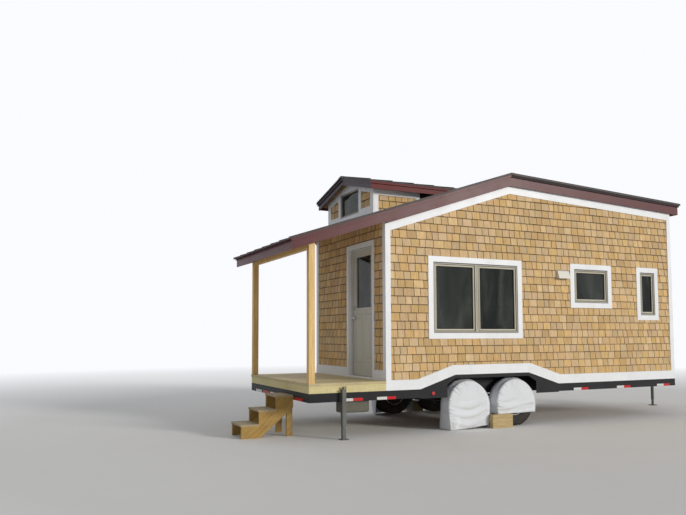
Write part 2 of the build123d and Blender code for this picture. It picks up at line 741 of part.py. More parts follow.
# Vent hood: a sheet-metal scoop open at its foot
hood = end_plate([(trim_thickness, vent_bottom), (trim_thickness, vent_bottom + vent_height),
                  (-vent_reach * 0.35, vent_bottom + vent_height * 0.86), (-vent_reach, vent_bottom)],
                 vent_x, vent_x + vent_width)
hood_inside = end_plate([(trim_thickness - vent_skin, vent_bottom - 10),
                         (trim_thickness - vent_skin, vent_bottom + vent_height - vent_skin * 2),
                         (-vent_reach * 0.35 + vent_skin, vent_bottom + vent_height * 0.86 - vent_skin * 2),
                         (-vent_reach + vent_skin, vent_bottom - 10)],
                        vent_x + vent_skin, vent_x + vent_width - vent_skin)
vent_hood = hood - hood_inside

# Porch deck: boards running out from the house over a rim and joists
board_gap = (body_width + 2 * deck_nosing - deck_board_count * deck_board_width) / (deck_board_count - 1)
deck_boards = []
for i in range(deck_board_count):
    y = i * (deck_board_width + board_gap) - deck_nosing
    deck_boards.append(block(-porch_depth - deck_nosing, 0, y, y + deck_board_width,
                             floor_top - deck_board_thickness, floor_top))
deck_under = floor_top - deck_board_thickness
deck_frame = block(-porch_depth, 0, 0, body_width, rail_top, deck_under)
joist_count = 5
bay = (body_width - joist_count * rim_thickness) / (joist_count - 1)
for i in range(joist_count - 1):
    y = rim_thickness + i * (bay + rim_thickness)
    deck_frame -= block(-porch_depth + rim_thickness, 1, y, y + bay, rail_top - 1, deck_under + 1)

# Porch posts under a beam
beam_rear = -porch_depth
beam_front = beam_rear + post_size
beam_foot = top_at(beam_rear) - roof_total - beam_height
porch_beam = block(beam_rear, beam_front, 0, body_width, beam_foot, ridge_top) & under_roof
near_post = block(beam_rear, beam_front, 0, post_size, floor_top, beam_foot - joint)
porch_frame = [near_post, across(near_post), porch_beam]

# Steps: two sawn stringers on short legs and three treads
rise = floor_top / (step_count + 1)
sawn = [(step_front, 0)]
for i in range(step_count):
    level = (i + 1) * rise - tread_thickness
    sawn += [(step_front + i * step_run, level), (step_front + (i + 1) * step_run, level)]
stringer_points = sawn + [(-porch_depth, step_count * rise - tread_thickness - stringer_back_drop),
                          (step_front + stringer_toe, 0)]
stringer = side_plate(stringer_points, step_y, step_y + stringer_thickness)
stringer_run = -porch_depth - step_front - stringer_toe
under_slope = (step_count * rise - tread_thickness - stringer_back_drop) / stringer_run
leg_top = (step_leg_x - step_front - stringer_toe) * under_slope
leg_back = (step_leg_x + step_leg_width - step_front - stringer_toe) * under_slope
stringer += side_plate([(step_leg_x, 0), (step_leg_x + step_leg_width, 0), (step_leg_x + step_leg_width,
                                                                            leg_back + 20),
                        (step_leg_x, leg_top + 20)], step_y, step_y + stringer_thickness)
far_stringer = Pos(0, step_width - stringer_thickness, 0) * stringer
step_stringers = [stringer, far_stringer]
step_treads = []
for i in range(step_count):
    level = (i + 1) * rise
    nose = step_front + i * step_run - step_nosing
    step_treads.append(block(nose, step_front + (i + 1) * step_run, step_y, step_y + step_width,
                             level - tread_thickness, level))

# Trailer: hollow main rails with the spring hangers welded below them
axle_z = tyre_radius - tyre_squash
axle_xs = [wheel_middle_x - axle_spacing / 2, wheel_middle_x + axle_spacing / 2]
main_rail_far = main_rail_y + main_rail_width
hanger_foot = axle_z + axle_radius + spring_thickness + spring_bow + spring_eye
main_rail = block(-porch_depth + cross_width, body_length - cross_width, main_rail_y, main_rail_far,
                  rail_bottom,
                  rail_top)
main_rail -= block(-porch_depth + cross_width - 1, body_length - cross_width + 1, main_rail_y + rail_wall,
                   main_rail_far - rail_wall, rail_bottom + rail_wall, rail_top - rail_wall)
for x in [axle_xs[0] - spring_half, wheel_middle_x, axle_xs[1] + spring_half]:
    main_rail += block(x - hanger_length / 2, x + hanger_length / 2, main_rail_y, main_rail_far, hanger_foot,
                       rail_bottom)
main_rails = [main_rail, across(main_rail)]


# Side rails: channels with their webs outwards, fore and aft of the wheels
def channel(x0, x1):
    """A channel along X on the near side."""
    bar = block(x0, x1, 0, side_rail_flange, rail_bottom, rail_top)
    return bar - block(x0 - 1, x1 + 1, rail_wall, side_rail_flange + 1, rail_bottom + rail_wall,
                       rail_top - rail_wall)


side_rails = [channel(-porch_depth + cross_width, fender_rear), channel(fender_front,
                                                                        body_length - cross_width)]
side_rails += [across(r) for r in side_rails]
trailer_rails = main_rails + side_rails

# Crossmembers: full-width end beams, bars between the main rails and outriggers to the side rails
crossmembers = [block(-porch_depth, -porch_depth + cross_width, 0, body_width, rail_bottom, rail_top),
                block(body_length - cross_width, body_length, 0, body_width, rail_bottom, rail_top)]
cross_foot = rail_top - cross_height
bar_x = -porch_depth + cross_spacing
while bar_x + cross_width < body_length - cross_width:
    crossmembers.append(block(bar_x, bar_x + cross_width, main_rail_far, body_width - main_rail_far,
                              cross_foot,
                              rail_top))
    if bar_x + cross_width < fender_rear or bar_x > fender_front:
        outrigger = block(bar_x, bar_x + cross_width, rail_wall, main_rail_y, cross_foot,
                          rail_top - rail_wall)
        crossmembers += [outrigger, across(outrigger)]
    bar_x += cross_spacing

# Tongue: two hollow beams that converge on the coupler
tongue_end = body_length + tongue_length
half_spread = tongue_spread / 2
half_coupler = coupler_width / 2
lean = (half_spread - half_coupler) / tongue_length
beam_side = tongue_beam_width * math.hypot(1, lean)
tongue_top = rail_top
tongue_foot = tongue_top - tongue_beam_height
hollow_side = rail_wall * math.hypot(1, lean)


def tongue_outline(outer, inner):
    """Plan of the near tongue beam between two lines parallel to its side."""
    return [(body_length, middle_y - half_spread + outer - beam_side),
            (tongue_end, middle_y - half_coupler + outer - beam_side),
            (tongue_end, middle_y - half_coupler - inner), (body_length, middle_y - half_spread - inner)]


tongue_beam = plan_plate(tongue_outline(0, 0), tongue_foot, tongue_top)
tongue_beam -= plan_plate(tongue_outline(hollow_side, hollow_side), tongue_foot + rail_wall,
                          tongue_top - rail_wall)
tongue_beams = [tongue_beam, across(tongue_beam)]

# Coupler: a socket head between the beams' noses, with a gusset plate on top that carries the jack
coupler_root = tongue_end - gusset_length
coupler_top = tongue_top
coupler_foot = coupler_top - coupler_height
coupler_body = block(tongue_end - 120, coupler_nose - coupler_width / 2, middle_y - half_coupler,
                     middle_y + half_coupler, coupler_foot, coupler_top)
coupler_body += Pos(coupler_nose - coupler_width / 2, middle_y, (coupler_foot + coupler_top) / 2) * Cylinder(
    coupler_width / 2, coupler_height)
ball_centre = Pos(coupler_nose - coupler_width / 2, middle_y, coupler_foot + ball_radius * 0.6)
coupler_body -= ball_centre * Sphere(ball_radius)
coupler_body -= Pos(coupler_nose - coupler_width / 2, middle_y, coupler_foot) * Cylinder(ball_radius,
                                                                                         ball_radius * 1.2)
gusset_half = half_coupler + lean * gusset_length + beam_side
gusset = plan_plate([(coupler_root, middle_y - gusset_half), (tongue_end,
                                                              middle_y - half_coupler - beam_side),
                     (tongue_end, middle_y + half_coupler + beam_side), (coupler_root,
                                                                         middle_y + gusset_half)],
                    tongue_top, tongue_top + gusset_thickness)
jack_post_x = tongue_end - gusset_length / 2
gusset -= Pos(jack_post_x, middle_y, tongue_top) * Cylinder(tongue_jack_radius, 60)
coupler = coupler_body + gusset

# Tongue jack: tube, foot, crown and crank
tongue_jack = Pos(jack_post_x, middle_y, (tongue_jack_top + tongue_tube_bottom) / 2) * Cylinder(
    tongue_jack_radius, tongue_jack_top - tongue_tube_bottom)
tongue_jack += Pos(jack_post_x, middle_y, tongue_tube_bottom * 0.6) * Cylinder(
    tongue_jack_radius * 0.8, tongue_tube_bottom * 1.2 - 1)
tongue_jack += Pos(jack_post_x, middle_y, tongue_foot_thickness / 2) * Cylinder(tongue_foot_radius,
                                                                            tongue_foot_thickness)
tongue_jack += Pos(jack_post_x, middle_y, tongue_jack_top + crown_height / 2) * Cylinder(
    tongue_jack_radius * 1.2, crown_height)
arm_z = tongue_jack_top + crown_height + tongue_arm_size / 2
tongue_jack += Pos(jack_post_x + tongue_arm / 2 - tongue_arm_size, middle_y, arm_z) * Box(
    tongue_arm, tongue_arm_size, tongue_arm_size)
knob_x = jack_post_x + tongue_arm - 2 * tongue_arm_size
tongue_jack += Pos(knob_x, middle_y, arm_z + tongue_knob / 2) * Cylinder(tongue_arm_size * 0.75, tongue_knob)

# Axles with their hubs
rim_y = tyre_y + (tyre_width - rim_width) / 2
disc_y = rim_y + 45
hub_back = disc_y + rim_skin + 55
axles = []
for x in axle_xs:
    axle = round_y(x, hub_back, body_width - hub_back, axle_z, axle_radius)
    hub = round_y(x, disc_y + rim_skin, hub_back, axle_z, hub_radius)
    hub += round_y(x, disc_y - 30, disc_y + rim_skin, axle_z, hub_bore - 2)
    axles.append(axle + hub + across(hub))

# Wheels: pressed rims inside tyres with a flattened foot
near_rims = []
near_tyres = []
shoulder = 42.0
for x in axle_xs:
    barrel = round_y(x, rim_y, rim_y + rim_width, axle_z, rim_radius)
    barrel -= round_y(x, rim_y - 1, rim_y + rim_width + 1, axle_z, rim_radius - rim_skin)
    disc = round_y(x, disc_y, disc_y + rim_skin, axle_z, rim_radius - rim_skin / 2)
    disc -= round_y(x, disc_y - 1, disc_y + rim_skin + 1, axle_z, hub_bore)
    for k in range(8):
        turn = math.radians(45 * k + 22.5)
        disc -= round_y(x + 125 * math.cos(turn), disc_y - 1, disc_y + rim_skin + 1,
                        axle_z + 125 * math.sin(turn), 18)
    near_rims.append(barrel + disc)
    tyre = round_y(x, tyre_y, tyre_y + tyre_width, axle_z, tyre_radius)
    tyre = fillet(tyre.edges().filter_by(GeomType.CIRCLE), shoulder)
    tyre -= round_y(x, tyre_y - 1, tyre_y + tyre_width + 1, axle_z, rim_radius)
    tyre -= block(x - tyre_radius, x + tyre_radius, tyre_y - 1, tyre_y + tyre_width + 1, -tyre_radius, 0)
    near_tyres.append(tyre)
wheel_rims = near_rims + [across(r) for r in near_rims]
tyres = near_tyres + [across(t) for t in near_tyres]

# Leaf springs: a bowed leaf pack over each axle, with an equaliser between the two
spring_y0 = main_rail_y + (main_rail_width - spring_width) / 2
spring_y1 = spring_y0 + spring_width
seat_z = axle_z + axle_radius
eye_z = hanger_foot - spring_eye
near_springs = []
for x in axle_xs:
    upper_arc = ThreePointArc((x - spring_half, spring_y0, seat_z + spring_bow + spring_thickness),
                              (x, spring_y0, seat_z + spring_thickness),
                              (x + spring_half, spring_y0, seat_z + spring_bow + spring_thickness))
    lower_arc = ThreePointArc((x + spring_half, spring_y0, seat_z + spring_bow + spring_thickness / 2),
                              (x, spring_y0, seat_z),
                              (x - spring_half, spring_y0, seat_z + spring_bow + spring_thickness / 2))
    tip = Line(upper_arc @ 1, lower_arc @ 0)
    root = Line(lower_arc @ 1, upper_arc @ 0)
    leaf = extrude(make_face(Curve() + [upper_arc, tip, lower_arc, root]), amount=spring_width, dir=(0, 1, 0))
    leaf += round_y(x - spring_half, spring_y0, spring_y1, eye_z - seat_gap, spring_eye)
    leaf += round_y(x + spring_half, spring_y0, spring_y1, eye_z - seat_gap, spring_eye)
    near_springs.append(leaf)
inner_half = axle_spacing / 2 - spring_half - spring_eye - seat_gap
equaliser = block(wheel_middle_x - inner_half, wheel_middle_x + inner_half, spring_y0 + 12, spring_y1 - 12,
                  eye_z - spring_eye, hanger_foot - seat_gap)
near_springs.append(equaliser)
leaf_springs = near_springs + [across(s) for s in near_springs]

# Fenders: folded plate over both wheels, with an inner side, end aprons and a lip
apron = [(fender_rear, fender_apron_bottom)] + fender_line + [(fender_front, fender_apron_bottom)]
slope_dx = fender_half_base - fender_half_top
slope_inset = fender_skin * math.hypot(slope_dx, fender_rise) / slope_dx
fender_hollow = [(fender_rear + fender_skin, fender_apron_bottom - 10),
                 (fender_rear + fender_skin, rail_top - fender_skin * 0.6),
                 (fender_top_rear + fender_skin * 0.15, fender_crown - fender_skin),
                 (fender_top_front - fender_skin * 0.15, fender_crown - fender_skin),
                 (fender_front - fender_skin, rail_top - fender_skin * 0.6),
                 (fender_front - fender_skin, fender_apron_bottom - 10)]
arch_top = fender_crown - fender_lip
arch = [(wheel_middle_x - fender_arch_half, fender_apron_bottom - 10),
        (wheel_middle_x - fender_arch_half, arch_top - fender_arch_step * 0.6),
        (wheel_middle_x - fender_arch_half + fender_arch_step, arch_top),
        (wheel_middle_x + fender_arch_half - fender_arch_step, arch_top),
        (wheel_middle_x + fender_arch_half, arch_top - fender_arch_step * 0.6),
        (wheel_middle_x + fender_arch_half, fender_apron_bottom - 10)]
near_fender = side_plate(apron, 0, fender_width)
near_fender -= side_plate(fender_hollow, fender_skin, fender_width - fender_skin)
near_fender -= side_plate(arch, -1, fender_skin + 1)
near_fender -= block(wheel_middle_x - fender_half_base - 1, wheel_middle_x + fender_half_base + 1,
                     fender_width - fender_skin - 1, fender_width + 1, fender_apron_bottom - 1, rail_bottom)
fender_lengths = [
    block(fender_rear - joint, fender_top_rear - joint / 2, -1, fender_width + 1, 0, ridge_top),
    block(fender_top_rear + joint / 2, fender_top_front - joint / 2, -1, fender_width + 1, 0, ridge_top),
    block(fender_top_front + joint / 2, fender_front + joint, -1, fender_width + 1, 0, ridge_top)]
near_fenders = [near_fender & length for length in fender_lengths]
fenders = near_fenders + [across(f) for f in near_fenders]


# Fabric covers hung over the wheels
def wheel_cover(x, hem):
    """A cover open at its foot and back, round over the tyre and straight down its sides."""
    inner = tyre_radius + seat_gap
    outer = inner + cover_skin

    def hood_shape(radius, y0, y1, foot):
        body = round_y(x, y0, y1, axle_z, radius)
        if foot < axle_z:
            body += block(x - radius, x + radius, y0, y1, foot, axle_z)
        body -= block(x - radius - 1, x + radius + 1, y0 - 1, y1 + 1, foot - 2 * radius, foot)
        return body

    shell = hood_shape(outer, cover_face_y, cover_face_y + cover_depth, hem)
    return shell - hood_shape(inner, cover_face_y + cover_skin, cover_face_y + cover_depth + 1, hem - 20)


wheel_covers = [wheel_cover(axle_xs[0], rear_cover_hem), wheel_cover(axle_xs[1], front_cover_hem)]
wheel_covers += [across(c) for c in wheel_covers]

# Stabiliser jacks on the side rails: housing with crank head, and a leg that slides in it
jack_y0 = -jack_offset - jack_tube
jack_y1 = -jack_offset
jack_mid = (jack_y0 + jack_y1) / 2
jack_leg = jack_tube - 2 * jack_wall - 2 * seat_gap
housing = block(jack_x - jack_tube / 2, jack_x + jack_tube / 2, jack_y0, jack_y1, jack_tube_bottom, jack_top)
housing -= block(jack_x - jack_tube / 2 + jack_wall, jack_x + jack_tube / 2 - jack_wall, jack_y0 + jack_wall,
                 jack_y1 - jack_wall, jack_tube_bottom - 1, jack_top - 20)
housing += Pos(jack_x, jack_mid, jack_top + crank_rise / 2) * Cylinder(crank_radius, crank_rise)
housing += block(jack_x - crank_radius, jack_x + crank_arm, jack_mid - crank_knob / 2,
                 jack_mid + crank_knob / 2, jack_top + crank_rise, jack_top + crank_rise + crank_knob)
housing += Pos(jack_x + crank_arm - crank_knob, jack_mid, jack_top + crank_rise * 0.6) * Cylinder(
    crank_knob, crank_rise * 0.8)
housing += block(jack_x - 45, jack_x + 45, jack_y1, 0, rail_bottom + 10, rail_top - 10)
near_leg = block(jack_x - jack_leg / 2, jack_x + jack_leg / 2, jack_mid - jack_leg / 2,
                 jack_mid + jack_leg / 2,
                 jack_foot_thickness, jack_leg_top)
near_leg += block(jack_x - jack_foot_size / 2, jack_x + jack_foot_size / 2, jack_mid - jack_foot_size / 2,
                  jack_mid + jack_foot_size / 2, 0, jack_foot_thickness)
jack_housings = [housing, across(housing)]

# Timber blocks against the outer sides of the front tyres
block_y = cover_face_y - seat_gap
near_block = block(block_x, block_x + block_length, block_y - block_depth, block_y, 0, block_height)
wheel_blocks = [near_block, across(near_block)]

# Red side marker lights on the sloped ends of the fenders
marker_x = fender_rear + marker_inset
near_marker = round_y(marker_x, -marker_depth, 0, marker_z, marker_radius)
near_marker = fillet(near_marker.faces().sort_by(Axis.Y)[0].edges(), 6)
marker_lights = [near_marker, across(near_marker)]

# Holding tank hung below the outriggers at the porch end
water_tank = block(tank_x, tank_x + tank_length, tank_y, tank_y + tank_depth, tank_bottom, cross_foot)
water_tank = fillet(water_tank.edges().filter_by(Axis.Z), 30)
water_tank = fillet(water_tank.faces().sort_by(Axis.Z)[0].edges(), 18)

nodes = {
    "floor": [floor],
    "long_walls": long_walls,
    "porch_walls": porch_walls,
    "tow_wall": [tow_wall],
    "roof_panels": roof_panels,
    "roof_covering": roof_covering,
    "ridge_caps": ridge_caps,
    "dormer_walls": dormer_walls,
    "dormer_roof": [dormer_roof, across(dormer_roof)],
    "dormer_trim": dormer_trim,
    "dormer_fascia": dormer_fascia,
    "fascia_boards": fascia_boards,
    "frieze_boards": frieze_boards,
    "corner_boards": corner_boards,
    "skirt_boards": skirt_boards,
    "window_frames": window_frames,
    "window_glass": window_glass,
    "casings": casings,
    "door_frame": [door_frame],
    "door_hinges": door_hinges,
    "leaf_hinges": leaf_hinges,
    "door_leaf": [door_leaf],
    "door_glass": [door_glass],
    "door_handle": [door_handle],
    "vent_hood": [vent_hood],
    "deck_boards": deck_boards,
    "deck_frame": [deck_frame],
    "porch_frame": porch_frame,
    "step_stringers": step_stringers,
    "step_treads": step_treads,
    "trailer_rails": trailer_rails,
    "crossmembers": crossmembers,
    "tongue_beams": tongue_beams,
    "coupler": [coupler],
    "tongue_jack": [tongue_jack],
    "axles": axles,
    "leaf_springs": leaf_springs,
    "wheel_rims": wheel_rims,
    "tyres": tyres,
    "fenders": fenders,
    "wheel_covers": wheel_covers,
    "jack_housings": jack_housings,
    "near_jack_leg": [near_leg],
    "far_jack_leg": [across(near_leg)],
    "wheel_blocks": wheel_blocks,
    "marker_lights": marker_lights,
    "water_tank": [water_tank],
}

for name, pieces in nodes.items():
    solids = [s for piece in pieces for s in (seat * piece).solids()]
    export_step(Compound(children=solids) if len(solids) > 1 else solids[0], f"parts/{name}.step")
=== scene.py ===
import logging
import random
from collections.abc import Callable, Sequence
from dataclasses import dataclass, field
from enum import Enum
from functools import cached_property
from math import atan2, cos, exp, hypot, pi, radians, sin, tanh, tau

import bpy
from mathutils import Matrix, Vector


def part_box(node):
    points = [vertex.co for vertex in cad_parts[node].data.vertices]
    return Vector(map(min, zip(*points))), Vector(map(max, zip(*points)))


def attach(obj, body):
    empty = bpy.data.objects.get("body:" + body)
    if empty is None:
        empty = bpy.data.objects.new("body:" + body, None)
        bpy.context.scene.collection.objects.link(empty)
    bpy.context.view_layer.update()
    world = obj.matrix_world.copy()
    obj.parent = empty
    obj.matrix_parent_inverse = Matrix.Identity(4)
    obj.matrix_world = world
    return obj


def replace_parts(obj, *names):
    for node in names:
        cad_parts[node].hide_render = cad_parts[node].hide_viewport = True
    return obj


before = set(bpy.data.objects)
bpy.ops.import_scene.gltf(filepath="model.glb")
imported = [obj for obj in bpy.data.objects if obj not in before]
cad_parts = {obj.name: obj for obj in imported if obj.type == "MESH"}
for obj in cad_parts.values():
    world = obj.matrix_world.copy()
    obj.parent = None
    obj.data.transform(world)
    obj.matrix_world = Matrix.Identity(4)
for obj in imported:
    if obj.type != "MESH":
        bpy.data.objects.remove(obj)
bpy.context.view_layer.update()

LOG = logging.getLogger("tiny_house")
Rgb = tuple[float, float, float]
Point = tuple[float, float, float]
Flat = tuple[float, float]
Box = tuple[float, float, float, float]
Socket = bpy.types.NodeSocket

UP = (0, 0, 1)
PALE = (0.96, 0.97, 1.0)
# The area up to which a cut piece of a face is dropped, in square metres
SLIVER = 1e-6


@dataclass(frozen=True)
class Sizes:
    """The sizes that several pieces share, in metres."""

    width: float = 2.59
    length: float = 6.096
    trim: float = 0.019
    board: float = 0.089
    ridge_x: float = 2.33
    ridge_z: float = 4.085
    rear_fall: float = 4 / 12
    front_fall: float = 0.56 / 12
    frieze_foot: float = 0.318
    floor_z: float = 0.79
    skirt_z: float = 0.80
    crown_z: float = 1.0
    dormer_top: float = 4.08
    dormer_fall: float = 0.25
    dormer_near: float = 0.44
    dormer_board: float = 0.825
    axles_x: Flat = (1.478, 2.40)
    axle_z: float = 0.372
    # Left edge, foot, width, height and panes of each opening in a long wall
    windows: tuple = ((0.838, 1.492, 1.625, 1.093, 2), (3.692, 2.008, 0.776, 0.577, 1), (5.269, 1.81, 0.366, 0.775, 1))

    def roof(self, x: float) -> float:
        """Gives the roof's height at a place along the house."""
        return self.ridge_z - (self.rear_fall * (self.ridge_x - x) if x < self.ridge_x
                               else self.front_fall * (x - self.ridge_x))

    def dormer(self, y: float) -> float:
        """Gives the dormer roof's height at a place across the house."""
        return self.dormer_top - self.dormer_fall * abs(y - self.width / 2)


SIZES = Sizes()
# The corner of the porch wall and the near wall, on the ground, from which every size here is counted
HOUSE = Vector((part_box("floor")[0].x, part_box("long_walls")[0].y - SIZES.trim, 0.0))


def paint(*channels: int) -> Rgb:
    """Turns a colour as a screen shows it, in red, green and blue from 0 to 255, into linear light."""
    return tuple(s / 12.92 if s <= 0.04045 else ((s + 0.055) / 1.055) ** 2.4 for s in (c / 255 for c in channels))


def limit(value: float, low: float = 0.0, high: float = 1.0) -> float:
    """Holds a value between two others."""
    return max(low, min(high, value))


def put(item: object, **values: object) -> None:
    """Sets several values of one thing."""
    for key, value in values.items():
        setattr(item, key, value)


def placed(name: str, data: bpy.types.ID) -> bpy.types.Object:
    """Puts a mesh, a light or a camera into the scene.

    Args:
        name: The object's name.
        data: What it shows.

    Returns:
        The new object.
    """
    item = bpy.data.objects.new(name, data)
    bpy.context.scene.collection.objects.link(item)
    return item


def new_mesh(name: str, points: Sequence[Vector], faces: Sequence[Sequence[int]]) -> bpy.types.Mesh:
    """Makes a mesh.

    Args:
        name: Its name.
        points: Its points, counted from the house's corner.
        faces: The points' numbers for each face.

    Returns:
        The mesh.
    """
    data = bpy.data.meshes.new(name)
    data.from_pydata([tuple(p + HOUSE) for p in points], [], faces)
    return data


# ---- Shader trees ----


class Run(Enum):
    """The way that a board's grain runs, as the stretch of its pattern."""

    ALONG_X = (3.0, 42.0, 42.0)
    ALONG_Y = (42.0, 3.0, 42.0)
    UPRIGHT = (42.0, 42.0, 3.0)


class Tree:
    """Short calls for building one node tree."""

    def __init__(self, tree: bpy.types.NodeTree) -> None:
        """Keeps the tree."""
        self.tree = tree

    def add(self, kind: str, inputs: dict | None = None, **settings: object) -> bpy.types.Node:
        """Adds a node.

        Args:
            kind: The node's type, without ShaderNode.
            inputs: Sockets to link, or values to set, by socket name or number.
            settings: The node's own settings.

        Returns:
            The new node.
        """
        node = self.tree.nodes.new("ShaderNode" + kind)
        put(node, **settings)
        for key, value in (inputs or {}).items():
            self.feed(node.inputs[key], value)
        return node

    def feed(self, socket: Socket, value: object) -> None:
        """Links a socket to another, or sets its value.

        Args:
            socket: The socket that is fed.
            value: Another socket, or a plain value.
        """
        if isinstance(value, Socket):
            self.tree.links.new(value, socket)
        else:
            short = socket.type == "RGBA" and len(value) == 3
            socket.default_value = (*value, 1.0) if short else value

    def math(self, operation: str, first: object, second: object = 0.0) -> Socket:
        """Gives the result of a sum on two values or sockets."""
        return self.add("Math", {0: first, 1: second}, operation=operation).outputs[0]

    def plus(self, first: object, second: object) -> Socket:
        """Adds two values."""
        return self.math("ADD", first, second)

    def times(self, first: object, second: object) -> Socket:
        """Multiplies two values."""
        return self.math("MULTIPLY", first, second)

    def vector(self, operation: str, first: object, second: object) -> Socket:
        """Gives the result of a sum on two vectors, part by part."""
        return self.add("VectorMath", {0: first, 1: second}, operation=operation).outputs[0]

    def mix(self, first: object, second: object, share: object) -> Socket:
        """Mixes two colours by the second one's share."""
        return self.add("Mix", {0: share, 6: first, 7: second}, data_type="RGBA").outputs[2]

    def tone(self) -> Socket:
        """Reads how light each face or point is."""
        return self.add("Attribute", attribute_name="tone").outputs["Fac"]

    def noise(self, where: object, scale: object, detail: float = 3.0, rough: float = 0.55,
              warp: float = 0.0) -> Socket:
        """Adds a noise pattern.

        Args:
            where: Where to read it.
            scale: How fine it is.
            detail: Its number of octaves.
            rough: The weight of its finer octaves.
            warp: How far it bends itself.

        Returns:
            Its value, from 0 to 1.
        """
        return self.add("TexNoise", {"Vector": where, "Scale": scale, "Detail": detail, "Roughness": rough,
                                     "Distortion": warp}).outputs[0]

    def span(self, value: object, low: float, high: float, to_low: float = 0.0, to_high: float = 1.0) -> Socket:
        """Maps a value from one span to another, held at its ends.

        Args:
            value: The value or socket.
            low: The start of the first span.
            high: Its end.
            to_low: The start of the second span.
            to_high: Its end.

        Returns:
            The mapped value.
        """
        return self.add("MapRange", {0: value, 1: low, 2: high, 3: to_low, 4: to_high}, clamp=True).outputs[0]


class Surface(Tree):
    """A material's tree while it is being built, with its shader's inputs and the surface's own coordinates."""

    def __init__(self, owner: bpy.types.Material) -> None:
        """Empties a material's tree.

        Args:
            owner: The material.
        """
        owner.use_nodes = True
        owner.node_tree.nodes.clear()
        super().__init__(owner.node_tree)
        shader = self.add("BsdfPrincipled")
        self.result, self.inputs = shader.outputs[0], shader.inputs
        self.where = self.add("TexCoord").outputs["Object"]

    def give(self, **values: object) -> None:
        """Feeds the shader's inputs, which are named with _ for a space."""
        for key, value in values.items():
            self.feed(self.inputs[key.replace("_", " ")], value)

    def effect(self, kind: bpy.types.NodeTree, inputs: dict) -> bpy.types.bpy_prop_collection:
        """Places a shared effect and gives its outputs."""
        return self.add("Group", {"Vector": self.where, **inputs}, node_tree=kind).outputs

    def bump(self, height: Socket, strength: float, depth: float) -> None:
        """Gives the shader a bumped normal from a height, a strength and a depth in metres."""
        self.give(Normal=self.add("Bump", {"Strength": strength, "Distance": depth, "Height": height}).outputs[0])


def new_group(name: str, inputs: dict[str, object], outputs: Sequence[str]) -> tuple:
    """Makes an empty shader node group with named sockets.

    Args:
        name: The group's name.
        inputs: Each input's default: a number, a vector of three or a colour of four.
        outputs: The outputs' names. Color is a colour and any other a number.

    Returns:
        The group's builder, what it is given and what it puts out.
    """
    group = bpy.data.node_groups.new(name, "ShaderNodeTree")
    kinds = {1: "Float", 3: "Vector", 4: "Color"}
    for label, value in inputs.items():
        kind = kinds[len(value) if isinstance(value, tuple) else 1]
        socket = group.interface.new_socket(name=label, in_out="INPUT", socket_type="NodeSocket" + kind)
        socket.default_value = value
    for label in outputs:
        kind = "Color" if label == "Color" else "Float"
        group.interface.new_socket(name=label, in_out="OUTPUT", socket_type="NodeSocket" + kind)
    given, out = (group.nodes.new("NodeGroup" + end) for end in ("Input", "Output"))
    return Tree(group), given.outputs, out.inputs


